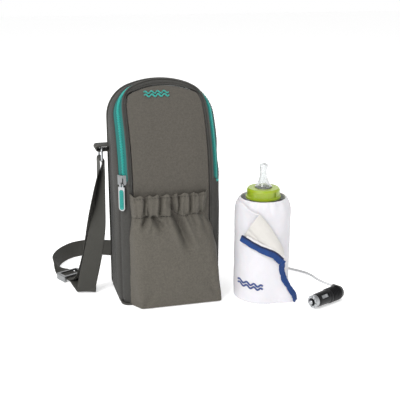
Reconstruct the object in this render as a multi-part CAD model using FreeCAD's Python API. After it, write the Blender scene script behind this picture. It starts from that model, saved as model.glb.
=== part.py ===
"""Travel bottle warmer set: an insulated carry bag, and a heated wrap sleeve that runs
from a 12 V car socket, with the feeding bottle that it warms.

Millimetres, +Z up. The origin is the centre of the bag's base, the bag's front faces -Y,
and the sleeve stands at the bag's right with its lead and plug on the same surface.
"""
import FreeCAD
import Part
import math
import os

from FreeCAD import Matrix, Vector

# ---- carry bag: driving sizes -------------------------------------------------------
BAG_HALF_WIDTH = 66.0
BAG_HALF_DEPTH = 43.0
BAG_HEIGHT = 277.5
LEAN_START = 144.0          # the front is upright below this height, and curves back above
LEAN_RADIUS = 180.0
CORNER_RADIUS = 42.0        # upper corners of the front outline
TOP_RADIUS = 112.0          # crown of the front outline
FRONT_ROUND = 22.0          # rolled edge between the front and the sides
BACK_ROUND = 8.0
SKIN = 1.6                  # outer fabric
FOAM = (1.8, 6.8)           # depth below the outside of the foam's two faces
LINING = (7.0, 7.8)
GAP = 0.3                   # play between pieces that move apart

# ---- lid, zip and pull --------------------------------------------------------------
FOLD_Z = 171.5              # the lid folds forward about this line
ZIP_START_Z = 158.0         # lower ends of the zip, one on each side
ZIP_DEPTH = 6.0             # the zip's centre line, measured in from the front surface
FOAM_SPLIT = (9.0, 9.8)     # the lid's foam ends at this depth, and this far in from the outline
LINING_SPLIT = (12.0, 14.2)
TAPE_FRONT = 2.95           # depths of the zip tape's two edges
TAPE_BACK = 9.7
COIL_WIDTH = 1.1
COIL_HEIGHT = 1.0
STOP_HALF = 1.4             # half the length of the zip's end stops, across the zip
STOP_Z = (155.4, 157.8)
STOP_HEIGHT = 1.8
PIPING_WIDTH = 1.55
PIPING_HEIGHT = 1.1
PANEL_INSET = 17.0          # edge of the light front panel, in from the outline's sides
PANEL_RISE = 11.0           # and how much nearer it comes to the crown
SLIDER_Z = (158.6, 170.6)
SLIDER_PLAY = 0.4           # between the slider and the coils or the tapes
SLIDER_WALL = 2.0
SLIDER_REACH = (2.8, 3.4)   # how far it reaches in front of the zip's centre line, and behind
CHANNEL_HALF = 1.75         # the coils' channel through the slider
PULL_LENGTH = 34.0
PULL_WIDTH = 9.0
PULL_HALF_THICK = 0.8
PULL_BORDER = 1.5
PULL_ARM = 6.5              # solid part of the pull, above its window
PULL_PIVOT_OUT = 5.0        # the pivot's distance from the bag's surface
PULL_PIVOT_Z = 160.5
PIVOT_WIRE = 0.75
INSERT_HALF_THICK = 1.2

# ---- pocket -------------------------------------------------------------------------
POCKET_X = (-55.0, 59.0)
POCKET_FRONT = (-61.0, -60.0, -53.0, -51.5)     # front face at the heights below
POCKET_HEIGHTS = (0.0, 30.0, 117.0, 144.0)
POCKET_CORNER = 16.0
POCKET_WALL = 1.5
BAND_WALL = 3.0
BAND_Z = 117.1

# ---- strap and its hardware ---------------------------------------------------------
STRAP_WIDTH = 24.6
STRAP_THICK = 1.3
RING_WIRE = 1.5             # radius of the ring's wire
RING_HALF = 14.2
RING_TOP_Z = 193.7
RING_LOW_Z = 177.5
RING_BEND = 4.0
LEFT_RING = (-78.0, 26.0)
RIGHT_RING = (71.0, 30.0)
STRAP_TURN = 3.2            # radius of the strap's middle round a ring
STRAP_STEPS = 3             # sections between two stations
TAB_HALF_WIDTH = 12.0
TAB_R = (2.4, 3.8)          # inside and outside of the tab's loop round the ring
LEFT_TAB_END = -85.5
RIGHT_TAB_END = 76.0
ADJUSTER_AT = Vector(-119.0, 71.6, 0)
ADJUSTER_AXIS = Vector(0.44, -0.898, 0)         # the way the strap runs through it

# ---- heated sleeve ------------------------------------------------------------------
SLEEVE_AT = (118.6, -47.9)
SLEEVE_TURN = -15.07        # degrees, the flap's overlap faces this way from -Y
SLEEVE_R = 35.6
SLEEVE_Z = 134.0
SHOULDER_Z = 109.0
RIM_R = 30.0
COVER_WALL = 1.4
FOAM_R = (30.0, 34.0)
CARRIER_R = (28.75, 29.05)
WIRE_R = (29.15, 29.75)
SLEEVE_LINING_R = (27.6, 28.6)
WIRE_TURNS = 11
FLAP_R = (35.95, 36.35, 36.45, 37.3)            # lining inside and out, cover inside and out
CORNER_R = (37.6, 38.8)
BINDING_R = (35.95, 38.0, 37.6, 39.8)           # on the free edge, then on the turned corner
BINDING_WIDTH = 6.0
FLAP_BACK_X = -35.4         # the flap joins the sleeve's side here, this far behind its front
FLAP_BACK_Y = -5.75
HOOK_X = (2.0, 22.0)        # touch-and-close tape that holds the flap shut
LOOP_X = (2.0, 17.1)
TAPE_Z = (12.0, 46.0)
TAPE_DEPTH = 0.5
TAPE_PLAY = 0.1
THERMOSTAT = ((-7.0, 7.0), (30.9, 33.4), (23.0, 43.0))
NEST = ((-7.2, 7.2), (29.5, 34.2), (22.8, 43.2))
WIRE_WIDTH = 1.2
WIRE_PITCH = 9.0
WIRE_LOW_Z = 10.0

# ---- bottle -------------------------------------------------------------------------
BOTTLE_R = 27.0
BOTTLE_FOOT_Z = 3.6
BOTTLE_WALL = 1.6
NECK_R = 17.3
NECK_Z = 141.0
COLLAR_R = 21.2
COLLAR_Z = (133.0, 146.0)
TEAT_TOP_Z = 178.0
TEAT_HOLE_R = 0.4
THREAD_GAP = 0.5            # between the neck and the collar

# ---- lead and plug ------------------------------------------------------------------
CORD_R = 1.6
GLAND_Z = 14.0
GLAND_LENGTH = 16.0
GLAND_R = (4.0, 2.4)
SHANK_LENGTH = 5.0          # part of the gland that passes through the sleeve's wall
BOOT_R = (3.9, 2.6)
PLUG_R = 9.75
PLUG_TIP = Vector(163.6, -113.2, PLUG_R)
PLUG_TURN = 25.5            # degrees from +X
PLUG_LENGTH = 54.0
COIL_AT = (153.8, 50.9)
COIL_R = (12.2, 25.0)
COIL_Z = 6.4
GROOVE_PITCH = 2.6          # grip grooves round the plug's rear
GROOVE_WIDTH = 1.2
GROOVE_FLOOR_R = 9.0
SIDE_CONTACT_X = (12.0, 24.0)
SIDE_CONTACT_TILT = 52.0    # degrees from upright about the plug's axis


def save(shape, name):
    """Write one node, after checking that it is sound."""
    solids = shape.Solids
    if not solids or not all(s.isValid() and s.isClosed() for s in solids):
        raise ValueError("bad solid in " + name)
    Part.makeCompound(solids).exportStep("parts/%s.step" % name)
    print("%-18s %2d solid(s) %10.1f mm3" % (name, len(solids), sum(s.Volume for s in solids)))


def box(x, y, z):
    """Box from three (low, high) pairs."""
    return Part.makeBox(x[1] - x[0], y[1] - y[0], z[1] - z[0], Vector(x[0], y[0], z[0]))


def face_of(edges):
    return Part.Face(Part.Wire(edges))


def polygon(points):
    return Part.Face(Part.makePolygon(points + points[:1]))


def line(a, b):
    return Part.LineSegment(a, b).toShape()


def arc(a, b, c):
    return Part.Arc(a, b, c).toShape()


def fuse(first, *others):
    for other in others:
        first = first.fuse(other)
    return first.removeSplitter()


def ring_wall(inner, outer, low, high):
    """Upright tube about the Z axis."""
    wall = Part.makeCylinder(outer, high - low, Vector(0, 0, low))
    return wall.cut(Part.makeCylinder(inner, high - low + 2, Vector(0, 0, low - 1)))


def revolve(points):
    """Turn a closed (radius, height) outline about Z. A three-item entry is an arc's middle."""
    vectors = [(Vector(p[0], 0, p[1]), len(p) == 3) for p in points]
    edges = []
    start, k = vectors[0][0], 1
    while k <= len(vectors):
        here, is_middle = vectors[k % len(vectors)]
        if is_middle:
            end = vectors[(k + 1) % len(vectors)][0]
            edges.append(arc(start, here, end))
            k += 1
        else:
            end = here
            edges.append(line(start, end))
        start = end
        k += 1
    return face_of(edges).revolve(Vector(0, 0, 0), Vector(0, 0, 1), 360)


# ======================================================================================
# Bag body
# ======================================================================================
CORNER_X = BAG_HALF_WIDTH - CORNER_RADIUS
TOP_CENTRE_Z = BAG_HEIGHT - TOP_RADIUS
CORNER_Z = TOP_CENTRE_Z + math.sqrt((TOP_RADIUS - CORNER_RADIUS) ** 2 - CORNER_X ** 2)
CORNER_ANGLE = math.atan2(CORNER_Z - TOP_CENTRE_Z, CORNER_X)


def front_y(z, inset=0.0):
    """Front surface's y at a height."""
    if z <= LEAN_START:
        return inset - BAG_HALF_DEPTH
    rise = z - LEAN_START
    return LEAN_RADIUS - BAG_HALF_DEPTH - math.sqrt((LEAN_RADIUS - inset) ** 2 - rise ** 2)


def arch(inset, y_low, y_high):
    """The front outline, pulled in by inset, as a prism along Y."""
    half = BAG_HALF_WIDTH - inset
    corner = CORNER_RADIUS - inset
    joint_x = CORNER_X + corner * math.cos(CORNER_ANGLE)
    joint_z = CORNER_Z + corner * math.sin(CORNER_ANGLE)
    middle_x = CORNER_X + corner * math.cos(CORNER_ANGLE / 2)
    middle_z = CORNER_Z + corner * math.sin(CORNER_ANGLE / 2)

    def at(x, z):
        return Vector(x, y_low, z)

    edges = [
        line(at(-half, inset), at(half, inset)),
        line(at(half, inset), at(half, CORNER_Z)),
        arc(at(half, CORNER_Z), at(middle_x, middle_z), at(joint_x, joint_z)),
        arc(at(joint_x, joint_z), at(0, BAG_HEIGHT - inset), at(-joint_x, joint_z)),
        arc(at(-joint_x, joint_z), at(-middle_x, middle_z), at(-half, CORNER_Z)),
        line(at(-half, CORNER_Z), at(-half, inset)),
    ]
    return face_of(edges).extrude(Vector(0, y_high - y_low, 0))


def behind_front(depth, low, back, high):
    """Everything behind the front surface pushed in by depth, as a prism along X."""
    half = BAG_HALF_WIDTH + 10

    def at(y, z):
        return Vector(-half, y, z)

    middle = (LEAN_START + high) / 2
    edges = [
        line(at(front_y(0, depth), low), at(front_y(0, depth), LEAN_START)),
        arc(at(front_y(0, depth), LEAN_START), at(front_y(middle, depth), middle),
            at(front_y(high, depth), high)),
        line(at(front_y(high, depth), high), at(back, high)),
        line(at(back, high), at(back, low)),
        line(at(back, low), at(front_y(0, depth), low)),
    ]
    return face_of(edges).extrude(Vector(2 * half, 0, 0))


def outline_gap(x, z, inset):
    """How far a point lies inside the front outline."""
    x = abs(x)
    if z <= CORNER_Z:
        return BAG_HALF_WIDTH - inset - x
    if math.atan2(z - CORNER_Z, x - CORNER_X) < CORNER_ANGLE:
        return CORNER_RADIUS - inset - math.hypot(x - CORNER_X, z - CORNER_Z)
    return TOP_RADIUS - inset - math.hypot(x, z - TOP_CENTRE_Z)


def rim_edges(shape, inset, y_at):
    """Edges that follow the outline and lie on the surface y = y_at(z)."""
    found = []
    for edge in shape.Edges:
        span = edge.LastParameter - edge.FirstParameter
        spots = [edge.valueAt(edge.FirstParameter + span * k) for k in (0.2, 0.5, 0.8)]
        on_outline = all(abs(outline_gap(p.x, p.z, inset)) < 0.05 and p.z > inset + 0.05
                         for p in spots)
        if on_outline and all(abs(p.y - y_at(p.z)) < 0.05 for p in spots):
            found.append(edge)
    return found


def bag_solid(inset):
    """The bag's outer form, pulled in by inset all round."""
    back = BAG_HALF_DEPTH - inset
    block = arch(inset, -BAG_HALF_DEPTH - 30, BAG_HALF_DEPTH + 30)
    block = block.common(behind_front(inset, inset, back, BAG_HEIGHT - inset + 1))
    block = block.makeFillet(FRONT_ROUND - inset, rim_edges(block, inset, lambda z: front_y(z, inset)))
    return block.makeFillet(max(BACK_ROUND - inset, 1.0), rim_edges(block, inset, lambda z: back))


def above(z):
    return box((-120, 120), (-120, 120), (z, 400))


def lid_zone(depth, z):
    """Space in front of the zip line and above the fold."""
    return above(z).cut(behind_front(depth, -50, 130, BAG_HEIGHT + 10))


OUTSIDE = bag_solid(0)
skin = OUTSIDE.cut(bag_solid(SKIN))
foam = bag_solid(FOAM[0]).cut(bag_solid(FOAM[1]))
lining = bag_solid(LINING[0]).cut(bag_solid(LINING[1]))


def split_at_fold(layer, depth, inset=None):
    """A layer's bag part and lid part, with play between them."""
    lid_space = lid_zone(depth - GAP / 2, FOLD_Z)
    open_space = lid_zone(depth + GAP / 2, FOLD_Z - GAP)
    if inset:
        lid_space = lid_space.common(arch(inset + GAP / 2, -120, 120))
        open_space = open_space.common(arch(inset - GAP / 2, -120, 120))
    return layer.cut(open_space), layer.common(lid_space)


bag_skin, lid_skin = split_at_fold(skin, ZIP_DEPTH)
panel_prism = arch(PANEL_INSET, -120, 25).translated(Vector(0, 0, PANEL_RISE))
zip_band_front = lid_zone(ZIP_DEPTH - GAP / 2, ZIP_START_Z).cut(lid_zone(TAPE_FRONT, 0))
zip_band_back = lid_zone(TAPE_BACK, ZIP_START_Z).cut(lid_zone(ZIP_DEPTH + GAP / 2, 0))
below_fold = box((-120, 120), (-120, 120), (-20, FOLD_Z - GAP))


def make_bag_body():
    base = skin.common(box((-80, 80), (-80, 80), (-1, SKIN)))
    upper = skin.cut(box((-80, 80), (-80, 80), (-1, SKIN + 0.05)))
    body = upper.common(bag_skin)
    back = body.common(arch(BACK_ROUND + 1, 0, 80)).common(above(SKIN + BACK_ROUND))
    front = body.common(panel_prism)
    tape = body.common(zip_band_back)
    tape = tape.fuse(body.common(zip_band_front.common(below_fold)))
    gusset = body.cut(back).cut(front).cut(zip_band_back).cut(zip_band_front)
    save(base, "base_panel")
    save(back, "back_panel")
    save(front, "front_panel")
    save(gusset, "gusset")
    save(tape, "zip_tape_bag")


def make_lid():
    save(lid_skin.common(panel_prism), "lid_panel")
    save(lid_skin.cut(panel_prism).cut(zip_band_front), "lid_border")
    save(lid_skin.common(zip_band_front), "zip_tape_lid")
    bag_foam, lid_foam = split_at_fold(foam, *FOAM_SPLIT)
    bag_lining, lid_lining = split_at_fold(lining, *LINING_SPLIT)
    save(bag_foam, "bag_foam")
    save(lid_foam, "lid_foam")
    save(bag_lining, "bag_lining")
    save(lid_lining, "lid_lining")


def make_zip_coils():
    raised = bag_solid(-COIL_HEIGHT).cut(OUTSIDE)
    front_row = lid_zone(ZIP_DEPTH - GAP / 2, ZIP_START_Z)
    front_row = front_row.cut(lid_zone(ZIP_DEPTH - GAP / 2 - COIL_WIDTH, 0))
    back_row = lid_zone(ZIP_DEPTH + GAP / 2 + COIL_WIDTH, ZIP_START_Z)
    back_row = back_row.cut(lid_zone(ZIP_DEPTH + GAP / 2, 0))
    save(raised.common(front_row.common(above(FOLD_Z))), "zip_coil_lid")
    closed_end = raised.common(front_row.common(below_fold))
    save(raised.common(back_row).fuse(closed_end), "zip_coil_bag")
    stops = bag_solid(-STOP_HEIGHT).cut(OUTSIDE)
    stops = stops.common(lid_zone(ZIP_DEPTH + STOP_HALF, 0).cut(lid_zone(ZIP_DEPTH - STOP_HALF, 0)))
    save(stops.common(box((-80, 80), (-80, 80), STOP_Z)), "zip_stops")


def make_piping():
    """Corded seam round the lid's border, just in front of the zip tape."""
    cord = bag_solid(-PIPING_HEIGHT).cut(OUTSIDE)
    edge = TAPE_FRONT - 0.05
    band = lid_zone(edge, FOLD_Z).cut(lid_zone(edge - PIPING_WIDTH, 0))
    save(cord.common(band), "lid_piping")


# ---- slider and pull ----------------------------------------------------------------
ZIP_ANGLE = math.acos(1 - ZIP_DEPTH / FRONT_ROUND)
ROUND_X = BAG_HALF_WIDTH - FRONT_ROUND
ROUND_Y = FRONT_ROUND - BAG_HALF_DEPTH
ZIP_NORMAL = Vector(-math.sin(ZIP_ANGLE), -math.cos(ZIP_ANGLE), 0)
ZIP_ACROSS = Vector(-math.cos(ZIP_ANGLE), math.sin(ZIP_ANGLE), 0)


def pull_frame_at(shape):
    """Local axes: X across the zip, Y out of the bag, Z up, with the pull's pivot at the origin."""
    at = Vector(-ROUND_X, ROUND_Y, PULL_PIVOT_Z) + ZIP_NORMAL * (FRONT_ROUND + PULL_PIVOT_OUT)
    a, n = ZIP_ACROSS, ZIP_NORMAL
    return shape.transformGeometry(Matrix(a.x, n.x, 0, at.x, a.y, n.y, 0, at.y,
                                          0, 0, 1, at.z, 0, 0, 0, 1))


def make_slider():
    low, high = SLIDER_Z
    side = box((-120, 0), (-120, 120), (low, high))
    under = COIL_HEIGHT + SLIDER_PLAY
    cover = bag_solid(-under - SLIDER_WALL).cut(bag_solid(-under))
    cheeks = bag_solid(-under - SLIDER_WALL).cut(bag_solid(-SLIDER_PLAY))
    wide = lid_zone(ZIP_DEPTH + SLIDER_REACH[1], 0).cut(lid_zone(ZIP_DEPTH - SLIDER_REACH[0], 0))
    inner = lid_zone(ZIP_DEPTH + CHANNEL_HALF, 0).cut(lid_zone(ZIP_DEPTH - CHANNEL_HALF, 0))
    slider = cover.common(wide).common(side).fuse(cheeks.common(wide.cut(inner)).common(side))
    bail = Part.makeCylinder(2.3, 1.6, Vector(-0.8, 0, 0), Vector(1, 0, 0))
    bail = bail.fuse(box((-0.8, 0.8), (-2.6, 0), (-2.0, 6.5)))
    bail = bail.cut(Part.makeCylinder(PIVOT_WIRE + 0.35, 4, Vector(-2, 0, 0), Vector(1, 0, 0)))
    save(fuse(slider, pull_frame_at(bail)), "zip_slider")


def make_pull():
    half = PULL_WIDTH / 2
    top, low = -3.4, half - PULL_LENGTH

    def paddle(half_width, half_thick, high):
        """Plate with a rounded lower end."""
        plate = box((-half_width, half_width), (-half_thick, half_thick), (low, high))
        return plate.fuse(round_end(half_width, half_thick, low))

    def round_end(radius, half_thick, z):
        return Part.makeCylinder(radius, 2 * half_thick, Vector(0, -half_thick, z), Vector(0, 1, 0))

    def slot(border, half_thick):
        """The window's form, round at both ends."""
        radius = half - border
        high = top - PULL_ARM
        return paddle(radius, half_thick, high).fuse(round_end(radius, half_thick, high))

    arms = [box((x - 0.7, x + 0.7), (-PIVOT_WIRE, PIVOT_WIRE), (top, 0)) for x in (-2.0, 2.0)]
    bar = Part.makeCylinder(PIVOT_WIRE, 5.4, Vector(-2.7, 0, 0), Vector(1, 0, 0))
    frame = paddle(half, PULL_HALF_THICK, top).cut(slot(PULL_BORDER, 2.0))
    insert = slot(PULL_BORDER + 0.05, INSERT_HALF_THICK)
    save(pull_frame_at(fuse(frame, bar, *arms)), "pull_frame")
    save(pull_frame_at(insert.removeSplitter()), "pull_insert")


# ======================================================================================
# Front pocket
# ======================================================================================
def pocket_form(wall, low, high):
    """The pocket's outer form, pulled in by wall, between two heights."""
    left, right = POCKET_X[0] + wall, POCKET_X[1] - wall
    corner = POCKET_CORNER - wall
    front = POCKET_FRONT[0] + wall
    lean = 1 - math.sqrt(0.5)

    def at(x, y):
        return Vector(x, y, low)

    plan = [
        line(at(left, 0), at(left, front + corner)),
        arc(at(left, front + corner), at(left + corner * lean, front + corner * lean),
            at(left + corner, front)),
        line(at(left + corner, front), at(right - corner, front)),
        arc(at(right - corner, front), at(right - corner * lean, front + corner * lean),
            at(right, front + corner)),
        line(at(right, front + corner), at(right, 0)),
        line(at(right, 0), at(left, 0)),
    ]
    block = face_of(plan).extrude(Vector(0, 0, high - low))
    side = [Vector(-90, y + wall, z) for y, z in zip(POCKET_FRONT, POCKET_HEIGHTS)]
    side[-1].z = 200.0
    side += [Vector(-90, 0, 200.0), Vector(-90, 0, 0)]
    return block.common(polygon(side).extrude(Vector(180, 0, 0)))


def make_pocket():
    top = POCKET_HEIGHTS[-1]
    cup = pocket_form(0, 0, BAND_Z - 0.1).cut(pocket_form(POCKET_WALL, POCKET_WALL, 200))
    band = pocket_form(0, BAND_Z, top).cut(pocket_form(BAND_WALL, 0, 200)).cut(OUTSIDE)

    def elastic_form(play):
        """The elastic, or with play the channel that it lies in."""
        outside = pocket_form(1.0 - play, BAND_Z + 2.5 - 2 * play, top - 2.5 + 2 * play)
        return outside.cut(pocket_form(2.0 + play, 0, 200)).cut(bag_solid(2 * play - 1.0))

    cup = cup.cut(OUTSIDE)
    channel = elastic_form(0.05)
    elastic = elastic_form(0)
    save(cup, "pocket_front")
    save(band.cut(channel), "pocket_band")
    save(elastic, "pocket_elastic")


# ======================================================================================
# Strap, rings, tabs and adjuster
# ======================================================================================
def make_tab(at, end, name):
    """Webbing folded round the ring's upper bar and sewn to the bag's side."""
    side = 1 if at[0] > 0 else -1
    root = side * BAG_HALF_WIDTH
    y = (at[1] - TAB_HALF_WIDTH, at[1] + TAB_HALF_WIDTH)

    def loop(r, start):
        bend = end - side * TAB_R[1]
        turn = Part.makeCylinder(r, y[1] - y[0], Vector(bend, y[0], RING_TOP_Z), Vector(0, 1, 0))
        return fuse(turn, box(sorted((start, bend)), y, (RING_TOP_Z - r, RING_TOP_Z + r)))

    inner = loop(TAB_R[0], root + side * (TAB_R[1] - TAB_R[0]))
    save(loop(TAB_R[1], root).cut(inner).cut(OUTSIDE), name)


def make_ring(at, name):
    """Rectangular wire ring in a plane of constant x."""
    x, y = at
    half, b = RING_HALF, RING_BEND
    low, high = RING_LOW_Z, RING_TOP_Z
    k = b * (1 - math.sqrt(0.5))

    def p(dy, z):
        return Vector(x, y + dy, z)

    path = [
        line(p(0, high), p(half - b, high)),
        arc(p(half - b, high), p(half - k, high - k), p(half, high - b)),
        line(p(half, high - b), p(half, low + b)),
        arc(p(half, low + b), p(half - k, low + k), p(half - b, low)),
        line(p(half - b, low), p(b - half, low)),
        arc(p(b - half, low), p(k - half, low + k), p(-half, low + b)),
        line(p(-half, low + b), p(-half, high - b)),
        arc(p(-half, high - b), p(k - half, high - k), p(b - half, high)),
        line(p(b - half, high), p(0, high)),
    ]
    section = Part.Wire(Part.makeCircle(RING_WIRE, p(0, high), Vector(0, 1, 0)))
    save(Part.Wire(path).makePipeShell([section], True, False), name)


# The strap's middle line and the direction of its width, from the sewn end at the right
# ring, round behind the bag, through the adjuster, up to the left ring and back down.
FLAT = Vector(-0.898, -0.44, 0)
THROUGH_Z = 3.65
TAIL_Z = 5.3


def along_adjuster(distance, z):
    spot = ADJUSTER_AT + ADJUSTER_AXIS * distance
    return Vector(spot.x, spot.y, z)


def over_ring(at, first_side):
    """The strap's turn over a ring's lower bar, entered on one side and left on the other."""
    return [(Vector(at[0] - first_side * STRAP_TURN * math.cos(k * math.pi / 4), at[1],
                    RING_LOW_Z + STRAP_TURN * math.sin(k * math.pi / 4)), Vector(0, 1, 0))
            for k in range(5)]


STRAP_STATIONS = [
    (Vector(67.8, 30, 158), Vector(0, 1, 0)),
    (Vector(67.8, 30, 169), Vector(0, 1, 0)),
    *over_ring(RIGHT_RING, 1),
    (Vector(74.2, 30, 168), Vector(0, 1, 0)),
    (Vector(74.0, 31, 156), Vector(0, 1, 0)),
    (Vector(73.8, 38, 120), Vector(0, 1, 0.15)),
    (Vector(71, 56, 78), Vector(0, 0.9, 0.4)),
    (Vector(63, 79, 42), Vector(0, 0.8, 0.6)),
    (Vector(47, 99, 21), Vector(0.1, 0.5, 0.85)),
    (Vector(25, 112, 12.8), Vector(0, 0.1, 1)),
    (Vector(-5, 123, 12.45), Vector(0, 0, 1)),
    (Vector(-35, 137, 12.45), Vector(0, 0, 1)),
    (Vector(-62, 151, 12.45), Vector(0, 0, 1)),
    (Vector(-86, 157, 12.45), Vector(0, 0, 1)),
    (Vector(-109, 150, 12.45), Vector(0, 0, 1)),
    (Vector(-127, 130, 12.4), Vector(-0.1, 0, 1)),
    (Vector(-135.5, 108, 11.6), Vector(-0.35, -0.1, 0.93)),
    (Vector(-132, 97, 8.2), Vector(-0.75, -0.25, 0.6)),
    (along_adjuster(-17, THROUGH_Z), FLAT),
    (along_adjuster(0, THROUGH_Z), FLAT),
    (along_adjuster(17, THROUGH_Z), FLAT),
    (Vector(-108.5, 42, 2.2), Vector(-0.95, -0.25, 0)),
    (Vector(-105.5, 24, 1.6), Vector(-0.97, 0.15, 0)),
    (Vector(-104.6, 15, 2.0), Vector(-0.966, 0.26, 0)),
    (Vector(-104.2, 11.4, 5.4), Vector(-0.966, 0.26, 0)),
    (Vector(-103.2, 11.2, 16), Vector(-0.966, 0.26, 0)),
    (Vector(-96, 12, 45), Vector(-0.93, 0.36, 0)),
    (Vector(-87.5, 14, 85), Vector(-0.8, 0.6, 0)),
    (Vector(-80.8, 18.5, 122), Vector(-0.4, 0.92, 0)),
    (Vector(-77, 24.5, 155), Vector(-0.05, 1, 0)),
    (Vector(-75.0, 26, 168), Vector(0, 1, 0)),
    *over_ring(LEFT_RING, -1),
    (Vector(-81.4, 26, 168), Vector(0, 1, 0)),
    (Vector(-86.5, 27, 142), Vector(0.1, 1, 0)),
    (Vector(-92, 31, 100), Vector(0.35, 0.93, 0)),
    (Vector(-96.5, 39, 55), Vector(0.62, 0.78, 0)),
    (Vector(-102.5, 47.5, 20), Vector(0.83, 0.55, 0)),
    (Vector(-107, 51.5, 8.8), Vector(0.89, 0.45, 0)),
    (along_adjuster(15.5, TAIL_Z + 0.3), FLAT * -1),
    (along_adjuster(9, TAIL_Z), FLAT * -1),
    (along_adjuster(-5, TAIL_Z), FLAT * -1),
]

def smooth(a, b, c, d, t):
    """Catmull-Rom curve between b and c."""
    return (b * 2 + (c - a) * t + (a * 2 - b * 5 + c * 4 - d) * t ** 2
            + (b * 3 - a - c * 3 + d) * t ** 3) * 0.5


def ribbon_sections(stations, steps):
    """Middle points and width directions along a strap."""
    points, widths = [], []
    last = len(stations) - 1
    for k in range(last):
        four = [stations[min(max(k + j, 0), last)] for j in (-1, 0, 1, 2)]
        straight = abs(four[1][0].z - four[2][0].z) < 1e-6 and abs(four[1][0].z - THROUGH_Z) < 0.01
        for j in range(steps):
            t = j / steps
            if straight:
                points.append(four[1][0] + (four[2][0] - four[1][0]) * t)
            else:
                points.append(smooth(*[s[0] for s in four], t))
            widths.append(four[1][1] + (four[2][1] - four[1][1]) * t)
    points.append(stations[-1][0])
    widths.append(stations[-1][1])
    return points, widths


def make_ribbon(stations, steps, width, thick):
    """A strap as one closed solid of ruled faces."""
    points, widths = ribbon_sections(stations, steps)
    sections = []
    for k, point in enumerate(points):
        along = points[min(k + 1, len(points) - 1)] - points[max(k - 1, 0)]
        along.normalize()
        across = widths[k] - along * widths[k].dot(along)
        across.normalize()
        normal = along.cross(across) * (thick / 2)
        across = across * (width / 2)
        corners = [point - across - normal, point + across - normal,
                   point + across + normal, point - across + normal]
        sections.append(Part.makePolygon(corners + corners[:1]))
    return Part.makeLoft(sections, True, True)


def make_adjuster():
    """Three-bar slide: the strap runs over the low middle bar and under the end bars."""
    inner = STRAP_WIDTH / 2 + 0.5
    outer = inner + 3.7
    frame = fuse(
        box((-outer, outer), (7.2, 10), (6.4, 8.8)),
        box((-outer, outer), (-10, -7.2), (6.4, 8.8)),
        box((-outer, outer), (-1.8, 1.8), (GAP, 2.6)),
        box((-outer, -inner), (-10, 10), (GAP, 8.8)),
        box((inner, outer), (-10, 10), (GAP, 8.8)))
    ends = [e for e in frame.Edges if e.Length > 5 and abs(abs(e.CenterOfMass.x) - outer) < 0.1]
    frame = frame.makeFillet(0.9, ends)
    angle = math.degrees(math.atan2(ADJUSTER_AXIS.y, ADJUSTER_AXIS.x)) + 90
    frame.rotate(Vector(0, 0, 0), Vector(0, 0, 1), angle)
    frame.translate(ADJUSTER_AT)
    save(frame, "strap_adjuster")


# ======================================================================================
# Heated sleeve. Local axes: X to the right of the overlap, -Y towards its front.
# ======================================================================================
def place_sleeve(shape):
    shape = shape.copy()
    shape.rotate(Vector(0, 0, 0), Vector(0, 0, 1), SLEEVE_TURN)
    shape.translate(Vector(SLEEVE_AT[0], SLEEVE_AT[1], 0))
    return shape


def shoulder_profile(inner_offset, low, high):
    """Outline of a wall layer: upright, then drawn in to the rim."""
    r, rim = SLEEVE_R - inner_offset, RIM_R - inner_offset
    return [(r, low), (r, SHOULDER_Z),
            ((r + rim) / 2 + 2.0, (SHOULDER_Z + high) / 2 + 1.6, "mid"), (rim, high)]


# Free edge of the flap, seen from its front: from the floor up to the start of the fold,
# then along the edge of the corner that is turned back.
FOLD_LINE = [(22.4, 54.0), (24.0, 64.0), (22.8, 74.0), (18.8, 84.0), (13.2, 94.0), (7.9, 103.0),
             (-3.0, 117.0)]
FOLD_LOW = FOLD_LINE[0]
CORNER_TIP = (-29.0, 88.0)
FREE_EDGE = [(31.0, 0.4), (28.0, 19.4), (24.2, 37.0), FOLD_LOW]
TURNED_EDGE = [FOLD_LOW, (17.0, 62.0), (8.0, 73.5), (-7.5, 83.0), CORNER_TIP]


def front_prism(points):
    """A prism towards the front, from (x, z) points."""
    return polygon([Vector(x, -70, z) for x, z in points]).extrude(Vector(0, 68, 0))


def beside(points, shift_x, shift_z):
    return [(x + shift_x, z + shift_z) for x, z in points]


def tape_window(x_range, inset=0.0):
    """Space of a patch of touch-and-close tape on the sleeve's front."""
    x = (x_range[0] + inset, x_range[1] - inset)
    return box(x, (-60, -20), (TAPE_Z[0] + inset, TAPE_Z[1] - inset))


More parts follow.
